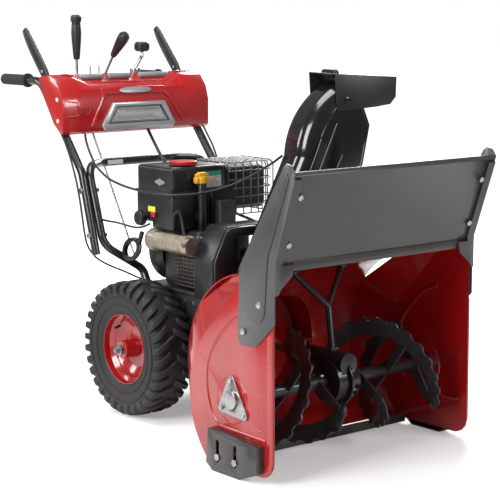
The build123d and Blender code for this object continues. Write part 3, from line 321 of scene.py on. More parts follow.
def place_tree(name):
    """Geometry Nodes: one shape on every point, turned by the point's own angles."""
    tree = bpy.data.node_groups.new(name, "GeometryNodeTree")
    tree.interface.new_socket("Geometry", in_out="INPUT", socket_type="NodeSocketGeometry")
    for label, kind in (("Shape", "NodeSocketObject"), ("Scale", "NodeSocketFloat"),
                        ("Finish", "NodeSocketMaterial")):
        tree.interface.new_socket(label, in_out="INPUT", socket_type=kind)
    tree.interface.new_socket("Geometry", in_out="OUTPUT", socket_type="NodeSocketGeometry")
    inlet = add_node(tree, "NodeGroupInput")
    shape = add_node(tree, "GeometryNodeObjectInfo", {"Object": inlet.outputs["Shape"]})
    angles = add_node(tree, "GeometryNodeInputNamedAttribute", (), {"Name": "angles"},
                      data_type="FLOAT_VECTOR")
    turn = add_node(tree, "FunctionNodeEulerToRotation", {"Euler": angles.outputs["Attribute"]})
    put = add_node(tree, "GeometryNodeInstanceOnPoints",
                   {"Points": inlet.outputs["Geometry"], "Instance": shape.outputs["Geometry"],
                    "Rotation": turn.outputs["Rotation"], "Scale": inlet.outputs["Scale"]})
    real = add_node(tree, "GeometryNodeRealizeInstances", {"Geometry": put.outputs["Instances"]})
    coated = add_node(tree, "GeometryNodeSetMaterial",
                      {"Geometry": real.outputs["Geometry"], "Material": inlet.outputs["Finish"]})
    add_node(tree, "NodeGroupOutput", {"Geometry": coated.outputs["Geometry"]})
    return tree


wires = wire_tree("round_wire")
copies = place_tree("copies_on_points")


def run_tree(tree, mesh, name, inputs):
    """Runs a tree on a mesh and returns the plain mesh it makes."""
    worker = bpy.data.objects.new(name + "_work", mesh)
    bpy.context.collection.objects.link(worker)
    modifier = worker.modifiers.new("tree", "NODES")
    modifier.node_group = tree
    for socket in tree.interface.items_tree:
        if socket.in_out == "INPUT" and socket.name in inputs:
            modifier[socket.identifier] = inputs[socket.name]
    return settled_mesh(worker, name)


def rod(name, paths, radius, material, body, sides=12):
    """Round bars or wires, radius in mm, along lists of points."""
    mesh = bpy.data.meshes.new(name)
    verts, edges = [], []
    for path in paths:
        start = len(verts)
        verts += [tuple(p) for p in path]
        edges += [(start + i, start + i + 1) for i in range(len(path) - 1)]
    mesh.from_pydata(verts, edges, [])
    made = run_tree(wires, mesh, name, {"Radius": radius / 1000, "Sides": sides, "Finish": material})
    return link_piece(name, made, material, body, 60)


def copied(name, shape, places, material, body, scale=1.0, smooth=40):
    """The mesh shape at each (point, angles) of places, as one piece."""
    pattern = bpy.data.objects.new(name + "_shape", shape)
    mesh = bpy.data.meshes.new(name)
    mesh.from_pydata([tuple(p) for p, turn in places], [], [])
    angles = mesh.attributes.new("angles", "FLOAT_VECTOR", "POINT")
    for i, (p, turn) in enumerate(places):
        angles.data[i].vector = tuple(turn)
    made = run_tree(copies, mesh, name, {"Shape": pattern, "Scale": scale, "Finish": material})
    bpy.data.objects.remove(pattern)
    return link_piece(name, made, material, body, smooth)


def curved(points, steps=8):
    """Points on a smooth spline through the given ones."""
    ends = [points[0] * 2 - points[1]] + list(points) + [points[-1] * 2 - points[-2]]
    out = []
    for i in range(1, len(ends) - 2):
        a, b, c, d = ends[i - 1:i + 3]
        for k in range(steps):
            t = k / steps
            out.append(0.5 * ((2 * b) + (c - a) * t + (2 * a - 5 * b + 4 * c - d) * t * t
                              + (3 * b - a - 3 * c + d) * t ** 3))
    return out + [points[-1]]


def plate(name, outline, thickness, material, body, width=1.0, steps=2):
    """A flat plate: outline is a list of points, thickness a vector in mm."""
    thickness = Vector(thickness) / 1000
    shape = bmesh.new()
    low = [shape.verts.new(p) for p in outline]
    high = [shape.verts.new(Vector(p) + thickness) for p in outline]
    shape.faces.new(low)
    shape.faces.new(high)
    for i in range(len(low)):
        j = (i + 1) % len(low)
        shape.faces.new((low[i], low[j], high[j], high[i]))
    return link_piece(name, edged(mesh_of(shape, name), name, width, steps), material, body)


ring_line = ((-40, 425), (10, 405), (76, 342), (112, 285), (119, 222), (104, 162), (78, 126), (46, 117),
             (-30, 115), (-126, 113))
hub_line = [(12 + 62 * math.cos(a), 194 + 60 * math.sin(a)) for a in turns(32, True)]
marks = (((-71, 229), (-108, 227)), ((-110, 220), (-110, 184)), ((-82, 135), (-113, 136)))
lip = ((-158, 405), (-158, 64), (-151, 38), (-136, 23), (-114, 17), (-96, 17), (-99, 29), (-116, 35),
       (-130, 47), (-136, 68), (-136, 386))
for side, hand in ((1, "left"), (-1, "right")):
    rod(f"housing_ring_{hand}", [curved([spot(side * 349.5, y, z) for y, z in ring_line])], 6.0, red,
        "machine", 20)
    rod(f"housing_hub_ring_{hand}", [[spot(side * 349.8, y, z) for y, z in hub_line]], 4.4, red, "machine",
        16)
    rod(f"housing_marks_{hand}", [[spot(side * 352, y, z) for y, z in mark] for mark in marks], 2.0, red,
        "machine", 10)
    plate(f"housing_lip_{hand}", [spot(side * 352, y, z) for y, z in lip], (side * 5.5, 0, 0), red, "machine",
          3.4, 4)

# Scraper bar, skid shoes and gearbox strap: steel plate and bar, sheared, folded and dipped in
# satin black enamel. The shoes and the scraper rub on the ground, so their low edges are bare.
black = finish("dipped_enamel_black", "17171a", "1d1d20", 0.34, 0.06, 4.0, 0.02, coat=0.25, wear="6f6f70",
               worn=0.7, dust=0.25)
dressed("scraper_bar", black, 1.2)
dressed("skid_shoes", black, 2.0)
dressed("gearbox_strap", black)

# Outer auger bearings and all the bolts: pressed and turned steel, zinc plated, so they are pale
# and a little cloudy. The heads carry a small domed boss where the maker's die left it.
zinc = finish("zinc_plated_steel", "b9bab8", "a3a4a4", 0.3, 0.09, 1.5, 0.01, metal=1.0, wear="e0e0e0",
              worn=0.3, patch=25)
dressed("auger_bearings", zinc, 1.2)
dressed("bolts", zinc, 0.8)


def spun(name, profile, centre, axis, material, body, steps=48, smooth=40, closed=False):
    """A turned or moulded round piece: profile is (distance along the axis, radius) in mm."""
    axis = Vector(axis).normalized()
    side = axis.orthogonal().normalized()
    other = axis.cross(side)
    shape = bmesh.new()
    rings = []
    for along, radius in profile:
        if radius <= 0:
            rings.append([shape.verts.new(centre + axis * along / 1000)])
            continue
        rings.append([shape.verts.new(centre + axis * along / 1000
                                      + (side * math.cos(a) + other * math.sin(a)) * radius / 1000)
                      for a in turns(steps)])
    for low, high in zip(rings, rings[1:] + rings[:1] if closed else rings[1:]):
        for k in range(steps):
            corners = [low[k % len(low)], low[(k + 1) % len(low)], high[(k + 1) % len(high)],
                       high[k % len(high)]]
            shape.faces.new(list(dict.fromkeys(corners)))
    for end in () if closed else (rings[0], rings[-1]):
        if len(end) > 1:
            shape.faces.new(end)
    return link_piece(name, mesh_of(shape, name), material, body, smooth)


for side, hand in ((-1, "right"), (1, "left")):
    spun(f"bearing_dome_{hand}",
         [(0, 31), (2, 30), (4, 26), (10, 24.5), (12.5, 22.5), (13.5, 19), (13.8, 0)],
         spot(side * 356.6, 4, 196), (side, 0, 0), zinc, "machine")

# Augers: two steel ribbons of opposite hand, their outer edge cut into ice teeth, welded to the
# ends of flat arms on a tube, which a shear pin holds to the auger shaft. Dipped satin black.
auger_black = finish("dipped_enamel_auger", "101012", "17171a", 0.36, 0.06, 5.0, 0.02, coat=0.3,
                     wear="555557", worn=0.6)
dressed("auger_shaft_and_worm_wheel", finish("drawn_steel_bar", "4a4c52", "3c3e44", 0.3, 0.08, 2.0, 0.01,
                                             metal=0.8))
dressed("auger_gearbox", auger_black, 1.5)
dressed("impeller", red)
dressed("impeller_shaft_and_pulley", zinc)
for side, hand in ((1, "left"), (-1, "right")):
    shape = bmesh.new()
    for phase in (math.radians(20), math.radians(200)):
        steps, inner, outer, half, tooth_height = 78, 104, 146, 3, 9
        turn, length, start = 0.62 * math.tau, 236, 66
        rows = []
        for k in range(steps + 1):
            share = k / steps
            a = phase + share * turn
            tooth = outer + (tooth_height if k % 6 in (1, 2, 3) else 0)
            taper = min(1.0, share * 9 + 0.35, (1 - share) * 9 + 0.35)
            row = []
            for radius, lift in ((inner, -half), (inner + (tooth - inner) * taper, -half),
                                 (inner + (tooth - inner) * taper, half), (inner, half)):
                row.append(shape.verts.new(spot(side * (start + share * length + lift),
                                                radius * math.cos(a), 200 + radius * math.sin(a))))
            rows.append(row)
        join_rows(shape, rows)
        for share in (0.04, 0.5, 0.96):
            a = phase + share * turn
            x = side * (start + share * length)
            across = Vector((0, -math.sin(a), math.cos(a)))
            out = Vector((0, math.cos(a), math.sin(a)))
            centre = spot(x, 0, 200)
            ends = []
            for radius, wide in ((12, 0.017), (112, 0.012)):
                for dx, dw in ((-0.0035, -1), (0.0035, -1), (0.0035, 1), (-0.0035, 1)):
                    ends.append(shape.verts.new(centre + out * radius / 1000 + across * dw * wide
                                                + Vector((dx, 0, 0))))
            for quad in ((0, 1, 2, 3), (4, 5, 6, 7), (0, 1, 5, 4), (1, 2, 6, 5), (2, 3, 7, 6), (3, 0, 4, 7)):
                shape.faces.new([ends[i] for i in quad])
    name = f"toothed_auger_{hand}"
    ribbon = link_piece(name, edged(mesh_of(shape, name), name, 0.8, 1), auger_black, "auger_set")
    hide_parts(f"auger_ribbon_{hand}")
    spun(f"auger_tube_{hand}", [(0, 17), (276, 17), (280, 14)], spot(side * 46, 0, 200), (side, 0, 0),
         auger_black, "auger_set")
    spun(f"shear_pin_{hand}", [(0, 6), (0.5, 8), (5, 8), (6, 6)], spot(side * 54, 0, 216), (0, 0, 1),
         zinc, "auger_set", 6)

# Housing extension: folded steel plates in dark-grey enamel. The side plates have a long panel
# pressed outwards; the tall front panel has its top edge rolled for stiffness.
grey = finish("sprayed_enamel_grey", "343233", "3a3839", 0.36, 0.05, 3.0, 0.02, coat=0.2, wear="8f8f8f",
              worn=0.5)
dressed("extension_sides", grey, 1.0)
panel_grey = finish("sprayed_enamel_panel", "3b3836", "423f3d", 0.34, 0.05, 3.0, 0.02, coat=0.2)
dressed("extension_panel", panel_grey, 1.0)

for side, hand in ((-1, "right"), (1, "left")):
    raised = ((-128, 440), (-140, 588), (-222, 790), (-212, 806), (-204, 796), (-48, 556), (-48, 440),
              (-60, 420), (-112, 418))
    plate(f"extension_pressing_{hand}", [spot(side * 356.2, y, z) for y, z in raised], (side * 3.5, 0, 0),
          grey, "machine", 3.2, 3)
rolled = [spot(x, -238, 803) for x in (-351, 351)]
rod("panel_rolled_edge", [rolled], 6.5, panel_grey, "machine", 20)

# Chute: blow-moulded black polyethylene, glossy, on a toothed ring. Ribs stiffen its sides and
# its rounded back. The deflector is a folded cap on two bolts that tips down over the mouth.
gloss = finish("blow_moulded_polyethylene", "111113", "161618", 0.16, 0.05, 4.0, 0.02, coat=0.35)
satin_chute = finish("moulded_polypropylene_satin", "1d1c1d", "232223", 0.4, 0.05, 1.0, 0.02)
dressed("chute", gloss, 0.8)
dressed("deflector", satin_chute, 0.9)
dressed("chute_ring_gear", satin_chute, 0.4)
dressed("chute_drive_box", satin_chute, 1.5)
turn = math.radians(78)
throw = Vector((math.sin(turn), -math.cos(turn), 0))
lateral = Vector((-math.cos(turn), -math.sin(turn), 0))


def chute_spot(s, side, z):
    """A place on the chute: s along its throw and side across it, in mm."""
    return spot(0, 282, z) + throw * s / 1000 + lateral * side / 1000


for side in (-1, 1):
    hand = "far" if side > 0 else "near"
    lines = (((-25, 480), (112, 800), (130, 850), (160, 905), (198, 942)),
             ((5, 480), (150, 815), (178, 880)), ((52, 500), (196, 790)))
    ribs = [[chute_spot(s, side * 71.5, z) for s, z in line] for line in lines]
    rod(f"chute_ribs_{hand}", [curved(r) for r in ribs], 3.2, gloss, "chute_set")
    rod(f"chute_edge_{hand}", [[chute_spot(78, side * 70, 472), chute_spot(258, side * 70, 762),
                                chute_spot(280, side * 70, 872), chute_spot(236, side * 70, 984)]],
        4.0, gloss, "chute_set")
knob_black = finish("moulded_nylon_black", "141416", "1b1b1d", 0.42, 0.06, 0.8, 0.03)
barrel = [(0, 9)]
for i in range(9):
    barrel += [(2 + 7 * i, 9), (3 + 7 * i, 12), (7 + 7 * i, 12), (8 + 7 * i, 9)]
spun("deflector_hinge_barrel", barrel, chute_spot(196, -36, 1024) - Vector((0, 0, 0.006)), lateral,
     knob_black, "deflector", 20)

# Frame, belt cover and running gear: folded 3 mm steel in black enamel, a vacuum-formed belt
# cover, and the discs, shafts and belts of the friction drive inside.
dressed("frame_box", black, 1.5)
cover_plastic = finish("vacuum_formed_abs", "161618", "1b1b1d", 0.38, 0.05, 1.2, 0.04)
dressed("belt_cover", cover_plastic, 5.0)


def band(name, outer, inner, thickness, material, body, width=1.0, closed=True):
    """A raised strip between two lines with the same number of points; thickness is a vector in mm."""
    thickness = Vector(thickness) / 1000
    shape = bmesh.new()
    rows = [[shape.verts.new(a), shape.verts.new(Vector(a) + thickness),
             shape.verts.new(Vector(b) + thickness), shape.verts.new(b)] for a, b in zip(outer, inner)]
    join_rows(shape, rows, closed)
    return link_piece(name, edged(mesh_of(shape, name), name, width, 3), material, body)


rim = ((-133, 380), (133, 380), (133, 491), (91, 574), (77, 584), (-77, 584), (-91, 574), (-133, 491))
well = ((-100, 404), (100, 404), (100, 478), (68, 550), (60, 556), (-60, 556), (-68, 550), (-100, 478))
band("belt_cover_rim", [spot(x, 373, z) for x, z in rim], [spot(x, 373, z) for x, z in well], (0, -9, 0),
     cover_plastic, "machine", 6.0)

belt_rubber = finish("moulded_rubber_belt", "161616", "1c1c1c", 0.7, 0.05, 1.0, 0.05)
dressed("drive_belts", belt_rubber)
steel = finish("turned_steel", "8d8f92", "7c7e82", 0.32, 0.08, 0.8, 0.01, metal=1.0, stretch=(1, 6, 6))
for node, slot in (("drive_disc_and_pulley", "cast_metal"), ("friction_shaft", "steel"),
                   ("belt_idler", "steel"), ("crankshaft_and_flywheel", "steel"),
                   ("axle_and_final_gear", "steel")):
    dressed(node, steel)
dressed("friction_wheel", belt_rubber)

# Wheels: a steel rim pressed in two dishes and sprayed red, on a keyed axle held by one bolt,
# and a tyre of black rubber with a directional snow tread: chevron lugs that wrap the shoulder.
rim_red = finish("sprayed_enamel_rim", "a11013", "8f0c10", 0.24, 0.05, 3.0, 0.012, coat=0.8, wear="c95a50",
                 worn=0.4)
dressed("wheel_rims", rim_red, 0.8)
tyre_rubber = finish("vulcanised_rubber_tyre", "161617", "1d1d1e", 0.62, 0.07, 1.4, 0.12, wear="303032",
                     worn=0.6, patch=60, dust=0.18)
axle = spot(0, 683, 202)
section = [(-46, 104), (-52, 108), (-57, 122), (-61.5, 146), (-61, 166), (-55, 181), (-46, 188), (-30, 191.5),
           (0, 193), (30, 191.5), (46, 188), (55, 181), (61, 166), (61.5, 146), (57, 122), (52, 108),
           (46, 104)]
for side, hand in ((1, "left"), (-1, "right")):
    middle = axle + Vector((side * 0.1805, 0, 0))
    casing = spun(f"tyre_casing_{hand}", section, middle, (1, 0, 0), tyre_rubber, "drive_wheels", 96,
                  60, True)
    lug = bmesh.new()
    long_lug = ((2, 0.0, 201.5, 0), (20, 2.4, 201.5, 0), (36, 5.6, 201, 0), (50, 8.2, 198.5, 2),
                (59, 9.4, 192, 5), (62, 9.9, 176, 5), (61, 10.0, 162, 1))
    short_lug = ((24, 13.4, 201, 0), (38, 16.8, 200.5, 0), (51, 19.4, 198, 2), (59, 20.6, 191, 5),
                 (62, 21.0, 179, 4.5), (61.5, 21.1, 170, 1))
    for wing in (-1, 1):
        for path in (long_lug, short_lug):
            rows = []
            for x, lag, top, push in path:
                half = 3.1 + x * 0.012
                foot = min(top - 3, 190 - max(0, x - 42) * 0.9)
                row = []
                for r, dx, da in ((foot, -2, -half), (top, push, -half * 0.7), (top, push, half * 0.7),
                                  (foot, -2, half)):
                    a = math.radians(lag + da + (0 if wing > 0 else 5.6))
                    row.append(lug.verts.new((wing * (x + dx) / 1000, -r * math.sin(a) / 1000,
                                              r * math.cos(a) / 1000)))
                rows.append(row)
            join_rows(lug, rows)
    shape = edged(mesh_of(lug, f"lug_{hand}"), f"lug_{hand}", 1.2, 1, 40)
    places = [(middle, (a, 0, 0)) for a in turns(16)]
    treads = copied(f"tyre_lugs_{hand}", shape, places, tyre_rubber, "drive_wheels")
    if side > 0:
        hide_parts("tyres")
    ring = [(middle + Vector((side * 0.0595, 0, 0)), 132), (middle + Vector((side * 0.062, 0, 0)), 158)]
    rod(f"tyre_bead_{hand}", [[c + Vector((0, math.cos(a), math.sin(a))) * r / 1000 for a in turns(64, True)]
                              for c, r in ring], 1.6, tyre_rubber, "drive_wheels", 8)
    rod(f"rim_valve_{hand}",
        [[axle + Vector((side * 0.205, 0.055, 0.060)), axle + Vector((side * 0.228, 0.051, 0.055))]], 4.0,
        belt_rubber, "drive_wheels")
    spun(f"hub_washer_{hand}", [(0, 16), (2, 16), (2.5, 15), (2.5, 0)], axle + Vector((side * 0.2495, 0, 0)),
         (side, 0, 0), zinc, "drive_wheels")

# Engine: a small overhead-valve petrol engine. Black moulded shrouds cover the tank, the
# carburettor heater box and the recoil starter; the crankcase is die-cast aluminium with fins.
shroud = finish("moulded_polypropylene_black", "131315", "19191b", 0.36, 0.07, 0.9, 0.05, wear="3a3a3c",
                worn=0.4)
alloy = finish("die_cast_aluminium", "6d6a66", "57544f", 0.42, 0.09, 1.6, 0.06, metal=0.9, patch=40)
dressed("engine_crankcase", alloy, 2.0)
dressed("recoil_housing", shroud, 3.0)
dressed("carburettor_box", shroud, 4.0)
dressed("fuel_tank_and_cover", shroud, 2.5)
dressed("oil_filler_tube", shroud, 0.8)
backs = (((-101, 496), (-101, 592), (-84, 592), (-84, 496)), ((101, 496), (101, 592), (84, 592), (84, 496)))
for i, corners in enumerate(backs):
    plate(f"cylinder_wall_{i}", [spot(x, y, 392) for x, y in corners], (0, 0, 106), alloy, "machine",
          2.0)


def block_mesh(name, size):
    """A plain block about the origin, size in mm."""
    block = bmesh.new()
    bmesh.ops.create_cube(block, size=1.0)
    bmesh.ops.scale(block, vec=Vector(size) / 1000, verts=block.verts)
    return mesh_of(block, name)


fin_shape = edged(block_mesh("fin", (22, 102, 3.2)), "fin", 1.0, 2)
copied("cooling_fins", fin_shape, [(spot(side * 99, 544, 398 + 11.5 * i), (0, 0, 0)) for i in range(9)
                                   for side in (-1, 1)], alloy, "machine")
plate("blower_shroud_front", [spot(x, 556, z) for x, z in ((2, 562), (92, 562), (92, 660), (78, 672),
                                                           (2, 672))], (0, -6, 0), shroud, "machine",
      3.0, 3)
spun("blower_shroud_screw", [(0, 5), (2, 5), (3, 3.5), (3, 0)], spot(34, 550, 603), (0, -1, 0), zinc,
     "machine", 16)
seam = [spot(-141, 558, 671), spot(-141, 738, 671)]
rod("shroud_seam", [seam, [spot(-139, 555.5, 671), spot(62, 555.5, 671)]], 1.6, shroud, "machine")
arch = [spot(x, 555.4, z) for x, z in ((22, 741), (46, 738), (60, 728), (63, 712), (62, 690), (60, 674))]
rod("tank_cover_rim", [curved(arch)], 2.0, shroud, "machine")
recoil_centre = spot(0, 741.5, 478)
grille_rings = [[recoil_centre + Vector((math.cos(a), 0, math.sin(a))) * r / 1000 for a in turns(48, True)]
                for r in (30, 48, 66, 84)]
spokes = [[recoil_centre + Vector((math.cos(a), 0, math.sin(a))) * r / 1000 for r in (28, 90)]
          for a in turns(12)]
rod("recoil_grille", grille_rings + spokes, 2.4, shroud, "machine", 8)

# Caps, knobs and labels: injection-moulded coloured plastics and printed film stickers, all left
# blank. The fuel cap is red and knurled, the dipstick yellow, and the stop key red.
cap_red = finish("moulded_nylon_red", "b01a20", "a3151b", 0.34, 0.05, 1.0, 0.03)
dressed("fuel_cap", cap_red, 1.0)
tooth_mesh = block_mesh("tooth", (2.6, 2.6, 8))
cap = spot(-62, 606, 752)
cap_edge = 0.0397
copied("fuel_cap_knurl", tooth_mesh, [(cap + Vector((math.cos(a), math.sin(a), 0)) * cap_edge, (0, 0, a))
                                      for a in turns(40)], cap_red, "fuel_cap")
yellow = finish("moulded_nylon_yellow", "d9a826", "cc9a1e", 0.36, 0.05, 1.0, 0.03)
dressed("oil_dipstick", yellow, 1.8)
dressed("choke_knob", knob_black, 2.0)
choke, choke_edge = spot(-157, 692, 588), 0.021
copied("choke_grip_ribs", tooth_mesh, [(choke + Vector((0, math.cos(a), math.sin(a))) * choke_edge,
                                        (a, math.pi / 2, 0)) for a in turns(18)], knob_black, "choke_knob",
       1.4)
dressed("stop_key", cap_red, 1.5)
white_film = finish("printed_film_white", "cfcbc8", "c6c1bd", 0.4, 0.04, 0.8, 0.01)
green_film = finish("printed_film_green", "2f8f7c", "2a8573", 0.4, 0.04, 0.8, 0.01)
yellow_film = finish("printed_film_yellow", "d8d83c", "cfcf36", 0.4, 0.04, 0.8, 0.01)
silver_film = finish("brushed_film_silver", "b4b4b4", "a2a2a2", 0.32, 0.05, 0.8, 0.01, metal=0.6)


def sticker(name, corners, out, material, body="machine"):
    """A film sticker 0.3 mm thick; out points away from the surface it is on."""
    return plate(name, corners, Vector(out) * 0.35, material, body, 0.1, 1)


sticker("fuel_label", [spot(x, 555.9, z) for x, z in ((-14, 680), (40, 680), (40, 715), (-14, 715))],
        (0, -1, 0), white_film)
sticker("fuel_label_head", [spot(x, 555.7, z) for x, z in ((-14, 713), (40, 713), (40, 727), (-14, 727))],
        (0, -1, 0), green_film)
rows = [[spot(x0, 555.4, z), spot(x1, 555.4, z)] for x0, x1, z in ((6, 34, 708), (-8, 20, 701), (-8, 34, 694),
                                                                  (-8, 12, 687))]
rod("fuel_label_rules", rows, 0.6, green_film, "machine", 6)
sticker("stop_label", [spot(-140.2, y, z) for y, z in ((641, 608), (677, 608), (677, 624), (641, 624))],
        (-1, 0, 0), yellow_film)
badge = [spot(-140.3, 617 + y, 699 + z) for y, z in ((-27, 0), (-14, 6), (-8, 6), (0, 12), (8, 6), (14, 6),
                                                     (27, 0), (14, -6), (8, -6), (0, -12), (-8, -6),
                                                     (-14, -6))]
sticker("shroud_badge", badge, (-1, 0, 0), silver_film)
plate("dipstick_wings", [spot(x, 530, z) for x, z in ((-70, 698), (-66, 695), (-26, 695), (-22, 698),
                                                      (-22, 712), (-26, 716), (-66, 716), (-70, 712))],
      (0, 17, 0), yellow, "oil_dipstick", 3.0, 3)
plate("dipstick_crown", [spot(x, 531, z) for x, z in ((-61, 714), (-31, 714), (-31, 724), (-34, 728),
                                                      (-58, 728), (-61, 724))], (0, 15, 0), yellow,
      "oil_dipstick", 2.5, 3)

# Electric starter and muffler side: a die-cast starter body with a painted steel end cap, its
# lead, and a pressed muffler behind a black welded wire guard.
starter_alloy = finish("die_cast_starter", "b0a998", "9b9484", 0.4, 0.08, 1.4, 0.05, metal=0.55, patch=30)
dressed("electric_starter", starter_alloy, 2.0)
end_brown = finish("phosphated_steel_cap", "6b5650", "5c4a45", 0.5, 0.06, 1.2, 0.04, metal=0.3)
spun("starter_end_cap", [(0, 27), (1.5, 29.5), (17, 30), (18.5, 28.5), (18.5, 0)], spot(-140, 459, 526),
     (0, 1, 0), end_brown, "machine", 6, 20)
copied("starter_cap_screws", tooth_mesh,
       [(spot(-140, 458.6, 526) + Vector((math.cos(a), 0, math.sin(a))) * 0.018, (0, a, 0))
        for a in (0.6, 2.7, 4.8)], zinc, "machine", 1.6)
rod("starter_band", [[spot(-140, y, 526) + Vector((math.cos(a), 0, math.sin(a))) * 0.0262
                      for a in turns(36, True)] for y in (500, 560, 612)], 1.4,
    starter_alloy, "machine", 8)
lead = [spot(x, y, z) for x, y, z in ((-134, 557, 604), (-133, 549, 614), (-130, 544, 619), (-126, 541, 616),
                                      (-122, 539, 604), (-121, 534, 584), (-124, 524, 562), (-130, 512, 550))]
rod("starter_lead", [curved(lead)], 4.6, belt_rubber, "machine")
rod("starter_terminal", [[spot(-92, 496, 545), spot(-92, 470, 545)],
                         [spot(-80, 486, 556), spot(-100, 486, 556)]], 4.0, zinc, "machine", 10)
muffler_steel = finish("aluminised_steel", "3a3a3b", "2e2e2f", 0.5, 0.1, 1.5, 0.04, metal=0.7)
dressed("muffler", muffler_steel, 1.0)
low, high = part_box("muffler_guard")
inset = Vector((0.002, 0.002, 0.002))
low, high = low + inset, high - inset
corner, wires_each_way = 0.012, 7
runs = []
for i in range(wires_each_way):
    t = i / (wires_each_way - 1)
    z = low.z + (high.z - low.z) * t
    runs.append([Vector((low.x, low.y, z)), Vector((high.x - corner, low.y, z)),
                 Vector((high.x, low.y + corner, z)), Vector((high.x, high.y, z))])
    x = low.x + (high.x - low.x) * t
    runs.append([Vector((x, low.y, low.z)), Vector((x, low.y, high.z - corner)),
                 Vector((x, low.y + corner, high.z)), Vector((x, high.y, high.z))])
    y = low.y + (high.y - low.y) * t
    runs.append([Vector((high.x, y, low.z)), Vector((high.x, y, high.z - corner)),
                 Vector((high.x - corner, y, high.z)), Vector((low.x, y, high.z))])
guard = rod("welded_wire_guard", runs, 1.9, black, "machine", 8)
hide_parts("muffler_guard")

# Recoil handle: a moulded loop grip with a pale ring moulded in, on a braided starter rope.
dressed("recoil_handle", knob_black, 3.0)
grip_ring = [spot(-169.5, 722, 492) + (Vector((0, 0.85, -0.53)) * math.cos(a)
                                       + Vector((0, 0.53, 0.85)) * math.sin(a) * 0.66) * 0.0405
             for a in (math.radians(d) for d in range(190, 290, 10))]
rod("recoil_handle_insert", [grip_ring], 6.2, silver_film, "recoil_handle")

# Handle: bent 25 mm steel tube in satin black, its upper tubes bolted to the lower U. The grips
# are ribbed rubber sleeves with a collar, and the clutch paddles are moulded nylon.
tube_black = finish("powder_coated_tube", "141416", "1a1a1c", 0.3, 0.05, 2.5, 0.02, coat=0.4, wear="5a5a5c",
                    worn=0.3)
dressed("lower_handle", tube_black, 0)
dressed("upper_handles", tube_black, 0)
sleeve = finish("extruded_rubber_sleeve", "1b1b1c", "222223", 0.75, 0.05, 1.6, 0.15)
grip_x = 250
for side in (-1, 1):
    profile = [(-4, 13), (-4, 20), (-1, 22), (4, 22), (7, 18)]
    for i in range(13):
        profile += [(10 + 9.6 * i, 16.2), (11.5 + 9.6 * i, 17.2), (17 + 9.6 * i, 17.2),
                    (18.5 + 9.6 * i, 16.2)]
    profile += [(139, 17), (143, 15), (144, 0)]
    grip = spun(f"ribbed_grip_{'left' if side > 0 else 'right'}", profile, spot(side * grip_x, 1160, 981),
                (0, 1, 0), sleeve, "machine")
    if side > 0:
        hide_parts("handle_grips")
for hand, side in (("left", 1), ("right", -1)):
    outline = ((1037, 998), (1039, 978), (1052, 978), (1060, 984), (1134, 1068), (1172, 1122), (1174, 1132),
               (1168, 1138), (1158, 1138), (1150, 1130), (1108, 1084), (1060, 1030))
    paddle = plate(f"nylon_paddle_{hand}", [spot(side * grip_x - 3.8, y, z) for y, z in outline], (7.6, 0, 0),
                   knob_black, f"clutch_paddle_{hand}", 3.0, 3)
    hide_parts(f"clutch_paddle_{hand}")
    edge = [spot(side * grip_x, y, z) for y, z in ((1044, 1000), (1062, 1028), (1110, 1081), (1158, 1132),
                                                   (1168, 1134), (1170, 1124), (1134, 1072), (1066, 994))]
    rod(f"paddle_flange_{hand}", [curved(edge, 5)], 6.5, knob_black, f"clutch_paddle_{hand}")
    spun(f"paddle_rivet_{hand}", [(-8, 0), (-8, 4), (-7, 5), (7, 5), (8, 4), (8, 0)],
         spot(side * grip_x, 1068, 1012), (1, 0, 0), zinc, f"clutch_paddle_{hand}", 16)
sticker("handle_sticker", [spot(-118, 919.2, 727), spot(-62, 919.2, 727), spot(-62, 919.2, 740),
                           spot(-118, 919.2, 740)], (0, -1, 0), white_film)

# Control panel: a drawn steel shell in the housing's red enamel with stepped pressings, a blank
# oval plate, a grey lever deck, and a headlight with a clear ribbed lens in a metallised frame.


def sink_deck(shape):
    """Lowers the middle of the panel's top in front of the lever deck, with a sloping end each side."""
    slope_right, floor_right, floor_left, slope_left = -0.205, -0.155, 0.146, 0.188
    drop, reach, top, deck_front = 0.018, 0.001, 0.975, 0.484
    for x in (slope_right, floor_right, floor_left, slope_left):
        bmesh.ops.bisect_plane(shape, geom=shape.verts[:] + shape.edges[:] + shape.faces[:], dist=1e-6,
                               plane_co=(x, 0, 0), plane_no=(1, 0, 0))
    for vert in shape.verts:
        inside = floor_right - reach < vert.co.x < floor_left + reach
        if inside and top < vert.co.z and vert.co.y < deck_front:
            vert.co.z -= drop


dressed("control_panel", red, 2.0, reshape=sink_deck)
silver = finish("metallised_abs", "b5b6b8", "a5a6a8", 0.3, 0.05, 1.0, 0.01, metal=0.55)
deck_grey = finish("moulded_abs_grey", "8f8f90", "858586", 0.42, 0.05, 1.0, 0.02, metal=0.2)
dressed("console_deck", deck_grey, 1.2)
dressed("headlight_bezel", silver, 1.6)


def on_face(x, z, out=0.0):
    """A place on the panel's front, out mm in front of it."""
    return spot(x, 922 + max(0, z - 915) * 14 / 43 + max(0, z - 958) * 0.6 - out, z)


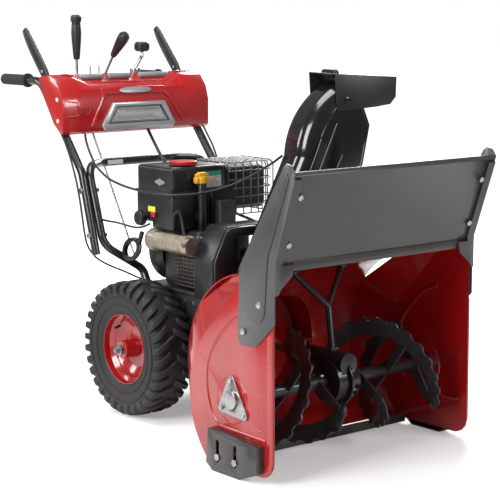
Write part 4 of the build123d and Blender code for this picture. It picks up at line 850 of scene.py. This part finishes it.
brow = (((-176, 846), (-136, 930), (-126, 961), (-60, 963), (60, 963), (112, 961), (128, 936), (180, 846)),
        ((-166, 846), (-124, 926), (-116, 941), (-60, 942), (60, 942), (102, 941), (116, 926), (170, 846)))
band("panel_brow", [on_face(x, z, -1) for x, z in brow[0]], [on_face(x, z, -1) for x, z in brow[1]],
     (0, -6, 0), red, "machine", 2.4, closed=False)
for i, box in enumerate((((-270, 930), (-222, 922), (-217, 880), (-270, 876)),
                         ((-214, 906), (-174, 904), (-184, 883), (-212, 884)))):
    middle = (sum(x for x, z in box) / 4, sum(z for x, z in box) / 4)
    inner = [(x + (middle[0] - x) * 0.12, z + (middle[1] - z) * 0.16) for x, z in box]
    band(f"panel_recess_{i}", [on_face(x, z, -1) for x, z in box], [on_face(x, z, -1) for x, z in inner],
         (0, -3.5, 0), red, "machine", 1.4)
crease = [spot(x, y, z) for x, y, z in ((-232, 996, 1002), (-205, 988, 999), (-155, 972, 977),
                                        (-90, 971, 976), (60, 971, 976), (146, 972, 977), (188, 988, 999),
                                        (215, 998, 1002))]
rod("panel_top_crease", [curved(crease)], 3.0, red, "machine")
deck_grain = finish("moulded_abs_grained", "8b8d8e", "7d7f81", 0.5, 0.06, 1.2, 0.12, metal=0.15, patch=20)
for i, (x0, x1) in enumerate(((-164, -76), (-56, 24), (60, 172))):
    spun(f"deck_bar_{i}", [(0, 5), (2, 8.5), (5, 9.5), (x1 - x0 - 5, 9.5), (x1 - x0 - 2, 8.5), (x1 - x0, 5)],
         spot(x0, 1004, 993), (1, 0, 0), deck_grain, "machine", 28)
oval = [on_face(-5 + 60 * math.copysign(abs(math.cos(a)) ** 0.6, math.cos(a)), 952 + 8.6 * math.sin(a), 5)
        for a in turns(32)]
plate("blank_name_plate", oval, (0, -3, 1.0), silver, "machine", 1.0, 2)
for z, y in ((930, 952), (866, 950)):
    spun(f"panel_screw_{z}", [(0, 6.5), (2, 6.5), (3.4, 4), (3.8, 0)], spot(-275, y, z), (-1, 0, 0),
         white_film, "machine", 20)
reflector = finish("vacuum_metallised_reflector", "d6d6d2", "c6c6c2", 0.22, 0.06, 2.0, 0.02, metal=0.8)
back_plate = [(-80, 903), (80, 903), (112, 854), (-112, 854)]
plate("headlight_reflector", [spot(x, 921.4, z) for x, z in back_plate], (0, -1.6, 0), reflector, "machine",
      0.4, 1)
# Painted shade: grey outlines round the LED reflector cells stand for the shadow along the cell walls.
cells = []
for k in range(13):
    for z, lean in ((889, 1), (874, -1)):
        x = -72 + 11 * k + (0 if z > 880 else -6)
        cells.append([spot(x - 5, 917.2, z), spot(x - 1, 917.2, z + 6 * lean),
                      spot(x + 4, 917.2, z + 6 * lean), spot(x + 6, 917.2, z),
                      spot(x + 3, 917.2, z - 5 * lean)])
rod("headlight_leds", cells, 1.3, finish("painted_led_reflector_shade", "8d8f88", "7c7e78", 0.4, 0.05, 1.0, 0.02,
                                         metal=0.3), "machine", 8)
rod("headlight_diffuser", [[spot(-78 - k * 5, 917.4, 866 - k * 5), spot(78 + k * 5, 917.4, 866 - k * 5)]
                           for k in range(3)], 1.7, reflector, "machine", 8)
frame_dark = finish("moulded_gasket_grey", "4c5557", "454d50", 0.5, 0.05, 1.0, 0.02)
rod("headlight_gasket", [[spot(x, 915, z) for x, z in back_plate + back_plate[:1]]], 2.4, frame_dark,
    "machine")
rod("headlight_bars", [[spot(-78, 914.5, 897), spot(78, 914.5, 897)],
                       [spot(-104, 914.5, 860), spot(104, 914.5, 860)]], 1.6, silver, "machine")
clear = bpy.data.materials.new("moulded_polycarbonate_clear")
clear.use_nodes = True
tree = clear.node_tree
tree.nodes.clear()
where = add_node(tree, "ShaderNodeTexCoord")
# Flutes 8 mm apart run up the lens.
flutes = add_node(tree, "ShaderNodeTexWave", {"Vector": where.outputs["Object"]}, {"Scale": 20.0},
                  bands_direction="X")
relief = add_node(tree, "ShaderNodeBump", {"Height": flutes.outputs["Fac"]},
                  {"Strength": 0.5, "Distance": 0.001})
shader = add_node(tree, "ShaderNodeBsdfPrincipled", {"Normal": relief.outputs["Normal"]},
                  {"Base Color": linear("f4f6f6"), "Roughness": 0.08, "Alpha": 0.3, "IOR": 1.58})
add_node(tree, "ShaderNodeOutputMaterial", {"Surface": shader.outputs["BSDF"]})
dressed("headlight_lens", clear, 0.8)

# Levers and rods: nylon grips pushed on plated steel rods that pivot under the deck, the chute
# crank with its turning knob, the shift rod, and the control cables in black jackets.
dressed("speed_lever", zinc, 0.4, "speed_lever_rod", keep=lambda p: p.z < 1.049)
base = spot(-150, 1034, 1046)
spun("speed_lever_grip", [(0, 5), (0, 8), (4, 10), (30, 12), (60, 14.5), (85, 15.5), (105, 14), (112, 13),
                          (116, 15), (124, 17), (132, 16), (136.5, 11), (137, 0)], base, (0, 0, 1),
     knob_black, "speed_lever", 28)
foot, tip = spot(-47, 985, 1058), spot(-47, 920, 1121)
dressed("deflector_lever", zinc, 0.4, "deflector_lever_rod",
        keep=lambda p: (p - foot).dot((tip - foot).normalized()) < 0.001)
spun("deflector_lever_grip", [(-3, 5), (-3, 8), (4, 10), (30, 13), (55, 16), (72, 17.5), (86, 17), (94, 12),
                              (96, 0)], foot, tip - foot, knob_black, "deflector_lever", 28)
dressed("chute_crank", zinc, 1.0)
dressed("crank_knob", knob_black, 0)
knob, knob_edge = spot(96, 1034, 1081), 0.0215
copied("crank_knob_ribs", tooth_mesh, [(knob + Vector((math.cos(a), math.sin(a), 0)) * knob_edge, (0, 0, a))
                                       for a in turns(20)], knob_black, "crank_knob", 1.9)
dressed("shift_rod", zinc, 0)
jacket = finish("extruded_cable_jacket", "141415", "1a1a1b", 0.45, 0.05, 1.0, 0.02)
dressed("control_cables", jacket, 0)
dressed("deflector_cable", jacket, 0)
